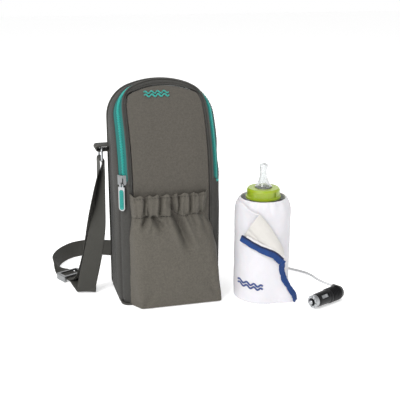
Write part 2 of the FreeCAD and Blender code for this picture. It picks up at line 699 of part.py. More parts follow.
def make_sleeve():
    outer = shoulder_profile(0, 0, SLEEVE_Z)
    inner = shoulder_profile(COVER_WALL, 0, SLEEVE_Z)
    cover = revolve(outer + list(reversed(inner)))
    hook_zone = ring_wall(SLEEVE_R - TAPE_DEPTH, SLEEVE_R, *TAPE_Z).common(tape_window(HOOK_X))
    hook = ring_wall(SLEEVE_R - TAPE_DEPTH + 0.05, SLEEVE_R, *TAPE_Z)
    gland_hole = Part.makeCylinder(GLAND_R[0] + 0.05, 30, Vector(0, 20, GLAND_Z), Vector(0, 1, 0))
    save(place_sleeve(cover.cut(hook_zone).cut(gland_hole)), "sleeve_cover")
    save(place_sleeve(hook.common(tape_window(HOOK_X, TAPE_PLAY))), "hook_tape")
    save(place_sleeve(Part.makeCylinder(SLEEVE_R - COVER_WALL - 0.1, 2.0)), "sleeve_base")
    cup = revolve([(0, 2.2), (SLEEVE_LINING_R[1], 2.2), (SLEEVE_LINING_R[1], 118),
                   (28.2, 133), (SLEEVE_LINING_R[0], 133), (SLEEVE_LINING_R[0], 3.2), (0, 3.2)])
    save(place_sleeve(cup), "sleeve_lining")
    pad = ring_wall(FOAM_R[0], FOAM_R[1], 2.2, SHOULDER_Z + 2)
    save(place_sleeve(pad.cut(box(*NEST)).cut(gland_hole)), "sleeve_foam")
    save(place_sleeve(box(*THERMOSTAT)), "thermostat")
    save(place_sleeve(ring_wall(CARRIER_R[0], CARRIER_R[1], 6, 110)), "heater_carrier")
    last_z = WIRE_LOW_Z + WIRE_PITCH * (WIRE_TURNS - 1)
    wire = box((-WIRE_WIDTH / 2, WIRE_WIDTH / 2), WIRE_R, (WIRE_LOW_Z, last_z))
    for turn in range(WIRE_TURNS):
        z = WIRE_LOW_Z + WIRE_PITCH * turn
        wire = wire.fuse(ring_wall(WIRE_R[0], WIRE_R[1], z, z + WIRE_WIDTH))
    save(place_sleeve(wire), "heating_wire")


def make_flap():
    turned = list(reversed(FOLD_LINE)) + TURNED_EDGE[1:]
    body = FREE_EDGE + FOLD_LINE[1:] + [(-60, FOLD_LINE[-1][1]), (-60, 0.4)]
    wedge = front_prism(body)
    wedge = wedge.cut(box((-80, FLAP_BACK_X), (FLAP_BACK_Y, 0), (-1, 200)))
    height = SHOULDER_Z + 8
    above_floor = box((-80, 80), (-80, 0), (0.4, 200))
    trim = front_prism(FREE_EDGE + list(reversed(beside(FREE_EDGE, -BINDING_WIDTH, -1.0))))
    trim = trim.common(above_floor)
    cover = ring_wall(FLAP_R[2], FLAP_R[3], 0.4, height).common(wedge).cut(trim)
    inner = ring_wall(FLAP_R[0], FLAP_R[1], 0.4, height).common(wedge).cut(trim)
    save(place_sleeve(cover), "flap_cover")
    save(place_sleeve(inner.cut(tape_window(HOOK_X))), "flap_lining")
    patch = ring_wall(FLAP_R[0], FLAP_R[1], *TAPE_Z).common(tape_window(LOOP_X, TAPE_PLAY))
    save(place_sleeve(patch), "loop_tape")
    edge_band = front_prism(TURNED_EDGE + list(reversed(beside(TURNED_EDGE, 2.0, 5.6))))
    corner = ring_wall(CORNER_R[0], CORNER_R[1], 0, 130).common(front_prism(turned)).cut(edge_band)
    save(place_sleeve(corner), "flap_corner")
    lower = ring_wall(BINDING_R[0], BINDING_R[1], 0.4, 130).common(trim)
    upper = ring_wall(BINDING_R[2], BINDING_R[3], 0.4, 130).common(edge_band).cut(lower)
    save(place_sleeve(Part.makeCompound(lower.Solids + upper.Solids)), "flap_binding")


# ======================================================================================
# Bottle, teat and collar
# ======================================================================================
def make_bottle():
    r, w, foot = BOTTLE_R, BOTTLE_WALL, BOTTLE_FOOT_Z
    floor = foot + 3.4
    outside = [
        (0, foot + 1.5), (18, foot + 1.5), (20, foot),
        (r - 4, foot), (r - 1.2, foot + 1.2, "mid"), (r, foot + 4),
        (r, 98), (r - 2.6, 111, "mid"), (NECK_R, 121), (NECK_R, NECK_Z)]
    inside = [
        (NECK_R - w, NECK_Z), (NECK_R - w, 120.2), (r - 2.6 - w, 110, "mid"), (r - w, 98),
        (r - w, floor + 2.6), (r - 1.8 - w, floor + 0.8, "mid"), (r - 5 - w, floor), (0, floor)]
    save(place_sleeve(revolve(outside + inside)), "bottle_body")


def make_teat():
    seat, top = NECK_Z + 0.4, TEAT_TOP_Z
    outside = [
        (TEAT_HOLE_R, top), (3.8, top - 0.8, "mid"), (5.7, top - 4), (5.1, 163.5),
        (6.9, 154, "mid"), (10.8, 147.2), (10.8, seat + 1.6), (16.9, seat + 1.6), (16.9, seat)]
    inside = [
        (9.3, seat), (9.3, 146.8), (5.6, 153.2, "mid"), (3.7, 163.5), (4.2, top - 4.2),
        (2.8, top - 2.2, "mid"), (TEAT_HOLE_R, top - 1.5)]
    save(place_sleeve(revolve(outside + inside)), "teat")


def make_collar():
    low, high = COLLAR_Z
    bore = NECK_R + THREAD_GAP
    deck = high - 2.4
    outline = [
        (bore, low), (COLLAR_R + 1.4, low), (COLLAR_R + 1.4, low + 2.2), (COLLAR_R, low + 2.8),
        (COLLAR_R, deck), (COLLAR_R - 1.8, high), (11.4, high), (11.4, deck), (bore, deck)]
    # A shallow upright notch in the grip, to the right of the front.
    notch = box((11.5, 14.5), (-COLLAR_R - 1, -14), (low + 3.4, high - 2.6))
    notch = notch.cut(Part.makeCylinder(COLLAR_R - 1.0, 40, Vector(0, 0, 120)))
    save(place_sleeve(revolve(outline).cut(notch)), "collar")


# ======================================================================================
# Lead, coil and plug
# ======================================================================================
def sleeve_point(x, y, z):
    a = math.radians(SLEEVE_TURN)
    return Vector(SLEEVE_AT[0] + x * math.cos(a) - y * math.sin(a),
                  SLEEVE_AT[1] + x * math.sin(a) + y * math.cos(a), z)


def tube(points, radius, name):
    """Round tube of straight runs joined by tangent arcs, each as large as its runs allow."""
    edges, length = [], 0.0
    start = points[0]
    for k in range(1, len(points) - 1):
        before, after = points[k] - points[k - 1], points[k + 1] - points[k]
        turn = before.getAngle(after)
        reach = 0.45 * min(before.Length, after.Length)
        bend = reach / math.tan(turn / 2)
        into, out = before.normalize() * reach, after.normalize() * reach
        first, last = points[k] - into, points[k] + out
        toward = (out - into).normalize()
        middle = points[k] + toward * (bend / math.cos(turn / 2) - bend)
        edges += [line(start, first), arc(first, middle, last)]
        length += (first - start).Length + bend * turn
        print("  %s bend %2d: turn %5.1f deg, radius %6.1f mm" % (name, k, math.degrees(turn), bend))
        start = last
    edges.append(line(start, points[-1]))
    length += (points[-1] - start).Length
    path = Part.Wire(edges)
    section = Part.Wire(Part.makeCircle(radius, points[0], points[1] - points[0]))
    solid = path.makePipeShell([section], True, False)
    expected = math.pi * radius ** 2 * length
    print("  %s length %.1f mm, volume %.1f of %.1f" % (name, length, solid.Volume, expected))
    save(solid, name)


# The lead leaves the back of the sleeve, comes down to the surface and joins the coil.
LEAD_OUT = [
    sleeve_point(0, SLEEVE_R + GLAND_LENGTH, GLAND_Z),
    sleeve_point(-0.5, SLEEVE_R + GLAND_LENGTH + 9, GLAND_Z - 0.8),
    sleeve_point(-3.0, SLEEVE_R + GLAND_LENGTH + 18, 9.6),
    sleeve_point(-7.5, SLEEVE_R + GLAND_LENGTH + 27, 3.8),
    sleeve_point(-12.5, SLEEVE_R + GLAND_LENGTH + 37, 1.7),
    sleeve_point(-15.5, SLEEVE_R + GLAND_LENGTH + 48, 1.6),
]
# It leaves the coil again on the far side and runs round to the plug.
LEAD_BACK = [
    Vector(176.8, 52.0, 4.4),
    Vector(177.6, 41.0, 3.0),
    Vector(180.6, 30.5, 1.8),
    Vector(187.0, 21.5, 1.6),
    Vector(195.2, 12.5, 1.6),
    Vector(203.0, 1.5, 1.6),
    Vector(207.3, -11.5, 1.6),
    Vector(208.2, -25.0, 1.6),
    Vector(212.0, -37.5, 1.7),
    Vector(216.0, -49.0, 2.4),
    Vector(215.6, -59.5, 5.0),
    Vector(213.6, -68.0, 8.4),
]


def place_plug(shape):
    shape = shape.copy()
    shape.rotate(Vector(0, 0, 0), Vector(0, 0, 1), PLUG_TURN)
    shape.translate(PLUG_TIP)
    return shape


def along_x(points):
    """Turn an (x, radius) outline about the plug's own axis, which is X."""
    flat = [Vector(p[0], p[1], 0) for p in points]
    return polygon(flat).revolve(Vector(0, 0, 0), Vector(1, 0, 0), 360)


def plug_point(x, y):
    a = math.radians(PLUG_TURN)
    return PLUG_TIP + Vector(x * math.cos(a) - y * math.sin(a), x * math.sin(a) + y * math.cos(a), 0)


BOOT_END = LEAD_BACK[-1]
BOOT_START = plug_point(48.5, 6.0)


def boot_form(r_start, r_end):
    axis = BOOT_END - BOOT_START
    return Part.makeCone(r_start, r_end, axis.Length, BOOT_START, axis)


def tilt_contact(shape, turn):
    shape = shape.copy()
    shape.rotate(Vector(0, 0, 0), Vector(1, 0, 0), turn)
    return shape


def make_plug():
    shell = along_x([(6.4, 5.2), (6.4, 8.2), (9, 8.6), (27, 8.9), (29, PLUG_R), (48, PLUG_R), (53, 8.0),
                     (PLUG_LENGTH, 6.0), (PLUG_LENGTH, 0), (51.5, 0), (51.5, 5.0), (8.4, 5.0), (8.4, 5.2)])
    for k in range(6):
        start = 31.5 + GROOVE_PITCH * k
        end = start + GROOVE_WIDTH
        shell = shell.cut(along_x([(start, GROOVE_FLOOR_R), (start, 12), (end, 12), (end, GROOVE_FLOOR_R)]))
    bump = Part.makeCylinder(2.2, 2.0, Vector(45.5, 0, 8.6))
    shell = shell.fuse(bump)
    low, high = SIDE_CONTACT_X
    slot = box((low - 0.4, high + 0.4), (-2.4, 2.4), (5.5, 12))
    # A window in the slot's floor, which the contact's foot sinks into as it is pressed.
    slot = slot.fuse(box((low + 1.6, high - 1.6), (-1.9, 1.9), (4.0, 6.0)))
    for turn in (SIDE_CONTACT_TILT, SIDE_CONTACT_TILT + 180):
        shell = shell.cut(tilt_contact(slot, turn))
    shell = place_plug(shell).cut(boot_form(BOOT_R[0] + 0.1, BOOT_R[1] + 0.1))
    split = plug_point(0, 0).z
    upper = shell.common(box((100, 300), (-200, 0), (split + 0.02, 60)))
    lower = shell.common(box((100, 300), (-200, 0), (-5, split - 0.02)))
    save(upper, "plug_shell_upper")
    save(lower, "plug_shell_lower")
    ring = along_x([(0, 5.0), (0, 7.4), (1.0, 8.0), (6.0, 8.0), (6.0, 5.0)])
    for k in range(8):
        notch = box((-1, 0.9), (-0.9, 0.9), (5.6, 9))
        notch.rotate(Vector(0, 0, 0), Vector(1, 0, 0), 45 * k)
        ring = ring.cut(notch)
    save(place_plug(ring), "plug_nose_ring")
    tip = along_x([(-3.2, 0), (-3.2, 1.4), (-2.2, 2.8), (6.5, 2.8), (6.5, 4.2), (8.0, 4.2), (8.0, 0)])
    save(place_plug(tip), "plug_tip")
    spring = along_x([(8.4, 2.8), (8.4, 4.0), (14.0, 4.0), (14.0, 2.8)])
    save(place_plug(spring), "tip_spring")
    fuse_end = [Part.makeCylinder(3.0, 5, Vector(x, 0, 0), Vector(1, 0, 0)) for x in (14.4, 35.4)]
    glass = Part.makeCylinder(2.7, 16.2, Vector(19.3, 0, 0), Vector(1, 0, 0))
    save(place_plug(fuse(glass, *fuse_end)), "plug_fuse")
    blade = box((low, high), (-2.0, 2.0), (6.4, 8.2))
    crown = polygon([Vector(low, -2, 8.2), Vector(low + 4, -2, 10.2), Vector(high - 4, -2, 10.2),
                     Vector(high, -2, 8.2)]).extrude(Vector(0, 4, 0))
    foot = box((low + 2, high - 2), (-1.5, 1.5), (5.6, 6.4))
    contact = fuse(blade, crown, foot)
    save(place_plug(tilt_contact(contact, SIDE_CONTACT_TILT)), "side_contact_upper")
    save(place_plug(tilt_contact(contact, SIDE_CONTACT_TILT + 180)), "side_contact_lower")
    save(boot_form(*BOOT_R), "plug_boot")


def make_lead():
    backwards = Vector(0, 1, 0)
    gland = Part.makeCone(*GLAND_R, GLAND_LENGTH, Vector(0, SLEEVE_R, GLAND_Z), backwards)
    inner_end = Vector(0, SLEEVE_R - SHANK_LENGTH, GLAND_Z)
    shank = Part.makeCylinder(GLAND_R[0], SHANK_LENGTH, inner_end, backwards)
    save(place_sleeve(fuse(gland, shank)), "cable_gland")
    tube(LEAD_OUT, CORD_R, "cord_to_coil")
    coil = ring_wall(COIL_R[0], COIL_R[1], 0, COIL_Z)
    coil.translate(Vector(COIL_AT[0], COIL_AT[1], 0))
    save(coil, "cord_coil")
    tube(LEAD_BACK, CORD_R, "cord_to_plug")


def main():
    os.makedirs("parts", exist_ok=True)
    make_bag_body()
    make_lid()
    make_zip_coils()
    make_piping()
    make_slider()
    make_pull()
    make_pocket()
    make_tab(LEFT_RING, LEFT_TAB_END, "side_tab_left")
    make_tab(RIGHT_RING, RIGHT_TAB_END, "side_tab_right")
    make_ring(LEFT_RING, "ring_left")
    make_ring(RIGHT_RING, "ring_right")
    save(make_ribbon(STRAP_STATIONS, STRAP_STEPS, STRAP_WIDTH, STRAP_THICK), "strap")
    make_adjuster()
    make_sleeve()
    make_flap()
    make_bottle()
    make_teat()
    make_collar()
    make_lead()
    make_plug()


main()
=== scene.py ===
"""Looks of a travel bottle warmer set: a zipped insulated bag, and a heated fleece sleeve
round a feeding bottle, with its lead and car plug. Lengths are millimetres until a mesh is made.
"""
import math

import bpy
import numpy as np
from mathutils import Matrix, Vector, noise


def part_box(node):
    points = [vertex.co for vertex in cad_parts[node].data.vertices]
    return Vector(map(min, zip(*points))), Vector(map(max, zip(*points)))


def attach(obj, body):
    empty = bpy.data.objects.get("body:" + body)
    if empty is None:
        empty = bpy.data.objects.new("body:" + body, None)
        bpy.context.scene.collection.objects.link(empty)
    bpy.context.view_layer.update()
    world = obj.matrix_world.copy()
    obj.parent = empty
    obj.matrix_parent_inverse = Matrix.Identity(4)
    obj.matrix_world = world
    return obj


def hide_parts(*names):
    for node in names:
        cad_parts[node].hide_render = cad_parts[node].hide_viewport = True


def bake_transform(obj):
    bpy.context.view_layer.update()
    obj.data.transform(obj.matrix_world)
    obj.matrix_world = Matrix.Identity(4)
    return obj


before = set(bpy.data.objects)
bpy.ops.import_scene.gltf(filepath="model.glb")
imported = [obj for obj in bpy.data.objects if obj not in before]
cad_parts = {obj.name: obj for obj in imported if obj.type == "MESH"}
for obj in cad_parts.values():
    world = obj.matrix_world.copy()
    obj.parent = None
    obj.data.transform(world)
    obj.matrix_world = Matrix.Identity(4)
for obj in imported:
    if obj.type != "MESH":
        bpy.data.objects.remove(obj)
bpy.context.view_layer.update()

MM = 0.001
X, Y, Z = Vector((1, 0, 0)), Vector((0, 1, 0)), Vector((0, 0, 1))


def corners(node):
    """A CAD node's lowest and highest corner in millimetres."""
    low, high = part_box(node)
    return low / MM, high / MM


# ---- camera, floor and light ---------------------------------------------------------
VIEW_AZIMUTH = -15.07
VIEW_PITCH = 16.4
CAMERA_AT = (-0.2155, -0.9776, 0.4186)
LENS = 72.06
SENSOR_WIDTH = 36
FLOOR_HALF = 6.0
FLOOR_SHADE = 0.9
FLOOR_GLOW = 0.44
SKY = ((0.05, 1.0), (0.45, 0.55))  # height and brightness
LIGHTS_AIM_AT = Vector((0.04, 0, 0.1))
LIGHTS = [  # name, place, size in metres, watts
    ("key_light", (-1.1, -1.1, 1.5), 0.8, 31), ("fill_light", (1.3, -0.9, 1.0), 1.4, 3),
    ("top_light", (0.1, 0.3, 1.9), 1.2, 8), ("back_light", (0.3, 1.6, 1.2), 1.2, 4)]


def make_camera():
    data = bpy.data.cameras.new("camera")
    data.lens = LENS
    data.sensor_width = SENSOR_WIDTH
    camera = bpy.data.objects.new("camera", data)
    camera.location = CAMERA_AT
    camera.rotation_euler = (math.radians(90 - VIEW_PITCH), 0, math.radians(VIEW_AZIMUTH))
    bpy.context.scene.collection.objects.link(camera)
    bpy.context.scene.camera = camera


def make_studio():
    mesh = bpy.data.meshes.new("floor")
    corners_xy = ((-1, -1), (1, -1), (1, 1), (-1, 1))
    mesh.from_pydata([(x * FLOOR_HALF, y * FLOOR_HALF, 0) for x, y in corners_xy], [], [(0, 1, 2, 3)])
    floor = bpy.data.objects.new("floor", mesh)
    floor.location.z = -0.0002
    bpy.context.scene.collection.objects.link(floor)
    paint = bpy.data.materials.new("floor_paint")
    paint.use_nodes = True
    shader = paint.node_tree.nodes["Principled BSDF"]
    shader.inputs["Base Color"].default_value = (FLOOR_SHADE, FLOOR_SHADE, FLOOR_SHADE, 1)
    shader.inputs["Roughness"].default_value = 0.9
    shader.inputs["Emission Color"].default_value = (1, 1, 1, 1)
    shader.inputs["Emission Strength"].default_value = FLOOR_GLOW
    mesh.materials.append(paint)
    world = bpy.data.worlds.new("studio")
    world.use_nodes = True
    nodes, links = world.node_tree.nodes, world.node_tree.links
    place, split = nodes.new("ShaderNodeTexCoord"), nodes.new("ShaderNodeSeparateXYZ")
    sky = nodes.new("ShaderNodeValToRGB")
    links.new(place.outputs["Generated"], split.inputs[0])
    links.new(split.outputs["Z"], sky.inputs["Fac"])
    links.new(sky.outputs["Color"], nodes["Background"].inputs["Color"])
    for stop, (height, bright) in zip(sky.color_ramp.elements, SKY):
        stop.position, stop.color = height, (bright, bright, bright, 1)
    bpy.context.scene.world = world
    bpy.context.scene.view_settings.view_transform = "Standard"
    for name, at, size, power in LIGHTS:
        data = bpy.data.lights.new(name, "AREA")
        data.energy = power
        data.size = size
        lamp = bpy.data.objects.new(name, data)
        lamp.location = at
        lamp.rotation_euler = (LIGHTS_AIM_AT - Vector(at)).to_track_quat("-Z", "Y").to_euler()
        bpy.context.scene.collection.objects.link(lamp)


# ---- materials -----------------------------------------------------------------------
def wave(nodes, links, vector, direction, period, distort=0.0):
    """Bands that repeat every period metres along one axis."""
    node = nodes.new("ShaderNodeTexWave")
    node.bands_direction = direction
    node.wave_profile = "SIN"
    node.inputs["Scale"].default_value = 2 * math.pi / 20 / period
    node.inputs["Distortion"].default_value = distort
    node.inputs["Detail"].default_value = 1.0
    node.inputs["Detail Scale"].default_value = 3.0
    links.new(vector, node.inputs["Vector"])
    return node.outputs["Fac"]


def combine(nodes, links, operation, a, b):
    node = nodes.new("ShaderNodeMath")
    node.operation = operation
    links.new(a, node.inputs[0])
    if isinstance(b, (int, float)):
        node.inputs[1].default_value = b
    else:
        links.new(b, node.inputs[1])
    return node.outputs["Value"]


def tint(colour, factor):
    return tuple(min(1.0, c * factor) for c in colour) + (1.0,)


def from_hex(code):
    """Linear colour from an sRGB hex code."""
    parts = [int(code[k:k + 2], 16) / 255 for k in (0, 2, 4)]
    return tuple(c / 12.92 if c < 0.04045 else ((c + 0.055) / 1.055) ** 2.4 for c in parts)


def material(name, code, rough, weave, period, bump, depth=0.0002, mottle=0.12, mottle_scale=60, speck=0.0,
             on_uv=True, **sockets):
    """Principled material with mottled colour and a woven, ribbed, fuzzy or grained bump."""
    made = bpy.data.materials.new(name)
    made.use_nodes = True
    nodes, links = made.node_tree.nodes, made.node_tree.links
    shader = nodes["Principled BSDF"]
    shader.inputs["Roughness"].default_value = rough
    for socket, value in sockets.items():
        shader.inputs[socket.replace("_", " ")].default_value = value
    place = nodes.new("ShaderNodeTexCoord")
    spot = place.outputs["Object"]
    flat = place.outputs["UV"] if on_uv else spot
    colour = from_hex(code)
    cloud = nodes.new("ShaderNodeTexNoise")
    cloud.inputs["Scale"].default_value = mottle_scale
    cloud.inputs["Detail"].default_value = 6.0
    cloud.inputs["Roughness"].default_value = 0.65
    links.new(spot, cloud.inputs["Vector"])
    if weave == "plain":
        warp, weft = wave(nodes, links, flat, "X", period), wave(nodes, links, flat, "Y", period)
        height = combine(nodes, links, "MULTIPLY", combine(nodes, links, "SUBTRACT", warp, 0.5),
                         combine(nodes, links, "SUBTRACT", weft, 0.5))
        height = combine(nodes, links, "MULTIPLY_ADD", height, 2.0)
    elif weave == "twill":
        height = combine(nodes, links, "MAXIMUM", wave(nodes, links, flat, "DIAGONAL", period * 0.7),
                         wave(nodes, links, flat, "Y", period, distort=0.6))
    elif weave == "rib":
        height = wave(nodes, links, flat, "X", period)
    elif weave in ("fuzz", "grain"):
        fine = nodes.new("ShaderNodeTexNoise")
        fine.inputs["Scale"].default_value = 1 / period
        fine.inputs["Detail"].default_value = 4.0
        links.new(spot, fine.inputs["Vector"])
        height = fine.outputs["Fac"]
    else:
        cells = nodes.new("ShaderNodeTexVoronoi")
        cells.inputs["Scale"].default_value = 1 / period
        cells.feature = "F1"
        links.new(spot, cells.inputs["Vector"])
        height = cells.outputs["Distance"]
    ramp = nodes.new("ShaderNodeValToRGB")
    ramp.color_ramp.elements[0].position = 0.3
    ramp.color_ramp.elements[1].position = 0.7
    ramp.color_ramp.elements[0].color = tint(colour, 1 - mottle)
    ramp.color_ramp.elements[1].color = tint(colour, 1 + mottle)
    fade = cloud.outputs["Fac"]
    if speck:
        centred = combine(nodes, links, "SUBTRACT", height, 0.5)
        fade = combine(nodes, links, "ADD", fade, combine(nodes, links, "MULTIPLY", centred, speck))
    links.new(fade, ramp.inputs["Fac"])
    links.new(ramp.outputs["Color"], shader.inputs["Base Color"])
    relief = nodes.new("ShaderNodeBump")
    relief.inputs["Strength"].default_value = bump
    relief.inputs["Distance"].default_value = depth
    links.new(height, relief.inputs["Height"])
    links.new(relief.outputs["Normal"], shader.inputs["Normal"])
    return made


def hard(name, code, rough, period, bump, mottle, **sockets):
    """Metal, plastic or glass: a faint grain on the object's own coordinates."""
    return material(name, code, rough, "grain", period, bump, 0.0001, mottle, on_uv=False, **sockets)


def bag_fabric(name, code, rough, sheen):
    return material(name, code, rough, "plain", 0.0011, 0.6, mottle=0.24, mottle_scale=420, speck=0.5,
                    Sheen_Weight=sheen)


LIGHT_CLOTH = bag_fabric("light_cloth", "49453E", 0.82, 0.04)
POCKET_CLOTH = bag_fabric("pocket_cloth", "514D45", 0.82, 0.04)
DARK_CLOTH = bag_fabric("dark_cloth", "343330", 0.85, 0.03)
WEBBING = material("webbing", "302F2A", 0.78, "twill", 0.0016, 0.7, 0.0003, mottle=0.12, speck=0.6,
                   Sheen_Weight=0.04)
THREAD = material("thread", "272522", 0.7, "rib", 0.0006, 0.6, on_uv=False)
TEAL_TAPE = material("teal_tape", "0B5F5B", 0.75, "twill", 0.0012, 0.7, mottle=0.16, mottle_scale=300,
                     speck=0.6)
# The coil's teal is much lighter than the tape's: partly the parts' own colours, partly painted highlight
# along the rows of coil.
TEAL_COIL_AND_HIGHLIGHT = material("teal_coil_and_painted_highlight", "1AA298", 0.35, "grain", 0.0006, 0.2, mottle=0.06, on_uv=False,
                     Coat_Weight=0.2)
TEAL_THREAD = material("teal_thread", "12958A", 0.5, "rib", 0.0005, 0.8, mottle=0.1, on_uv=False,
                       Sheen_Weight=0.3)
TEAL_RUBBER = material("teal_rubber", "11847C", 0.5, "grain", 0.0005, 0.25, mottle=0.06, on_uv=False)
FOIL = material("foil_lining", "B9BCBE", 0.28, "crinkle", 0.006, 0.5, 0.0006, mottle=0.08, on_uv=False,
                Metallic=0.85)
METAL = hard("bright_metal", "A9ABAD", 0.28, 0.0004, 0.08, 0.06, Metallic=1.0)
WORN_METAL = hard("worn_metal", "8A8C8D", 0.34, 0.0005, 0.15, 0.12, Metallic=1.0)
FLEECE = material("fleece", "CFCDD1", 0.95, "fuzz", 0.0011, 0.55, 0.0005, mottle=0.03, on_uv=False,
                  Sheen_Weight=0.1, Sheen_Roughness=0.6, Subsurface_Weight=0.08, Subsurface_Scale=0.004)
SLEEVE_INSIDE = material("sleeve_inside", "C6C3BE", 0.9, "plain", 0.0009, 0.5, mottle=0.05, speck=0.4,
                         Sheen_Weight=0.2)
ALLOWANCE = material("seam_allowance", "CFCCCC", 0.9, "plain", 0.0007, 0.5, mottle=0.04, speck=0.3)
BLUE_TAPE = material("blue_tape", "0A3672", 0.8, "rib", 0.0011, 0.7, 0.0003, mottle=0.2, mottle_scale=150,
                     speck=0.5)
BLUE_THREAD = material("blue_thread", "2A3F78", 0.6, "rib", 0.0005, 0.8, mottle=0.12, on_uv=False,
                       Sheen_Weight=0.3)
WHITE_TAPE = material("white_tape", "E6E4E6", 0.9, "crinkle", 0.0008, 0.9, 0.0004, mottle=0.05, on_uv=False)
CLEAR = hard("milky_bottle", "E4E6E6", 0.3, 0.002, 0.03, 0.01, Transmission_Weight=0.45, IOR=1.45)
# Dark navy for the band laid just inside the flap's blue binding: painted shadow between the binding and the
# turned corner.
BINDING_SHADOW_NAVY = material("painted_binding_shadow", "0A1C42", 0.8, "rib", 0.0011, 0.7, 0.0003, mottle=0.12, speck=0.4)
SILICONE = hard("silicone", "EDEFEF", 0.14, 0.0015, 0.05, 0.02, Transmission_Weight=0.9, IOR=1.36)
LIME = hard("lime_plastic", "8CA01C", 0.32, 0.0004, 0.08, 0.04, Subsurface_Weight=0.15,
            Subsurface_Scale=0.002, Coat_Weight=0.15)
CORD_SKIN = hard("cord_skin", "CACBCC", 0.38, 0.0008, 0.15, 0.04, Transmission_Weight=0.1, IOR=1.4)
BLACK = hard("black_plastic", "08080A", 0.3, 0.0005, 0.1, 0.25, Specular_IOR_Level=0.25)
GRAPHITE = hard("grey_plastic", "55575A", 0.5, 0.0005, 0.15, 0.08)
FILM = hard("amber_film", "B97A2B", 0.4, 0.0006, 0.1, 0.1)
GLASS = hard("fuse_glass", "E8EEF0", 0.06, 0.001, 0.03, 0.02, Transmission_Weight=0.9, IOR=1.45)

CAD_LOOKS = {
    "zip_stops": TEAL_COIL_AND_HIGHLIGHT, "zip_slider": WORN_METAL, "pull_frame": METAL, "pull_insert": TEAL_RUBBER,
    "ring_left": METAL, "ring_right": METAL, "strap_adjuster": WORN_METAL,
    "sleeve_base": WHITE_TAPE, "thermostat": GRAPHITE, "heater_carrier": FILM, "heating_wire": WORN_METAL,
    "bottle_body": CLEAR, "teat": SILICONE, "collar": LIME,
    "plug_shell_upper": BLACK, "plug_shell_lower": BLACK, "plug_nose_ring": METAL, "plug_tip": METAL,
    "tip_spring": WORN_METAL, "plug_fuse": GLASS, "side_contact_upper": METAL, "side_contact_lower": METAL,
    "base_panel": DARK_CLOTH,
}


def paint_cad():
    for node, look in CAD_LOOKS.items():
        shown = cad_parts[node].data
        shown.materials.clear()
        shown.materials.append(look)


# ---- mesh helpers --------------------------------------------------------------------
def link(name, mesh, look):
    made = bpy.data.objects.new(name, mesh)
    mesh.materials.append(look)
    bpy.context.scene.collection.objects.link(made)
    return made


def solid(name, points, faces, look, smooth=True, uv=None):
    """A mesh piece from points in millimetres."""
    mesh = bpy.data.meshes.new(name)
    mesh.from_pydata([tuple(c * MM for c in p) for p in points], [], faces)
    if uv is not None:
        layer = mesh.uv_layers.new(name="cloth")
        for loop in mesh.loops:
            layer.data[loop.index].uv = uv[loop.vertex_index]
    mesh.polygons.foreach_set("use_smooth", [smooth] * len(mesh.polygons))
    mesh.update()
    return link(name, mesh, look)


def cloth(name, rows, look, thick=1.0, levels=1, flip=False, offset=-1.0):
    """Cloth through a grid of points, with its thickness as real geometry and its weave in metres."""
    grid = np.array([[tuple(p) for p in row] for row in rows])
    n, m = grid.shape[:2]
    across = np.linalg.norm(np.diff(grid, axis=1), axis=2).mean(axis=0)
    along = np.linalg.norm(np.diff(grid, axis=0), axis=2).mean(axis=1)
    u = np.concatenate([[0], np.cumsum(across)]) * MM
    v = np.concatenate([[0], np.cumsum(along)]) * MM
    uv = [(u[j], v[i]) for i in range(n) for j in range(m)]
    faces = []
    for i in range(n - 1):
        for j in range(m - 1):
            a = i * m + j
            face = (a, a + 1, a + m + 1, a + m)
            faces.append(tuple(reversed(face)) if flip else face)
    made = solid(name, grid.reshape(-1, 3), faces, look, uv=uv)
    if thick:
        wall = made.modifiers.new("thickness", "SOLIDIFY")
        wall.thickness = thick * MM
        wall.offset = offset
    if levels:
        soft = made.modifiers.new("softness", "SUBSURF")
        soft.levels = soft.render_levels = levels
    return made


def bar_faces(base, sides, rings, flip=False, closed=False):
    """Faces of a bar, or of a closed loop, whose rings of points follow one another from base."""
    faces = []
    whole = rings * sides
    for k in range(rings if closed else rings - 1):
        for j in range(sides):
            a, b = k * sides + j, k * sides + (j + 1) % sides
            c, d = (a + sides) % whole, (b + sides) % whole
            faces.append((a, c, d, b) if flip else (a, b, d, c))
    if not closed:
        ends = [tuple(reversed(range(sides))), tuple(range(whole - sides, whole))]
        faces += [tuple(reversed(end)) for end in ends] if flip else ends
    return [tuple(base + corner for corner in face) for face in faces]


def tube(name, path, radius, look, sides=8, closed=False):
    """Round cord along a list of points."""
    points = []
    count = len(path)
    side = None
    for k, p in enumerate(path):
        after = path[(k + 1) % count] if closed else path[min(k + 1, count - 1)]
        before = path[k - 1] if closed else path[max(k - 1, 0)]
        along = (after - before).normalized()
        if side is None:
            side = along.cross(Z if abs(along.z) < 0.9 else X).normalized()
        side = (side - along * side.dot(along)).normalized()
        up = along.cross(side)
        for j in range(sides):
            a = 2 * math.pi * j / sides
            points.append(p + side * (radius * math.cos(a)) + up * (radius * math.sin(a)))
    return solid(name, points, bar_faces(0, sides, count, closed=closed), look)


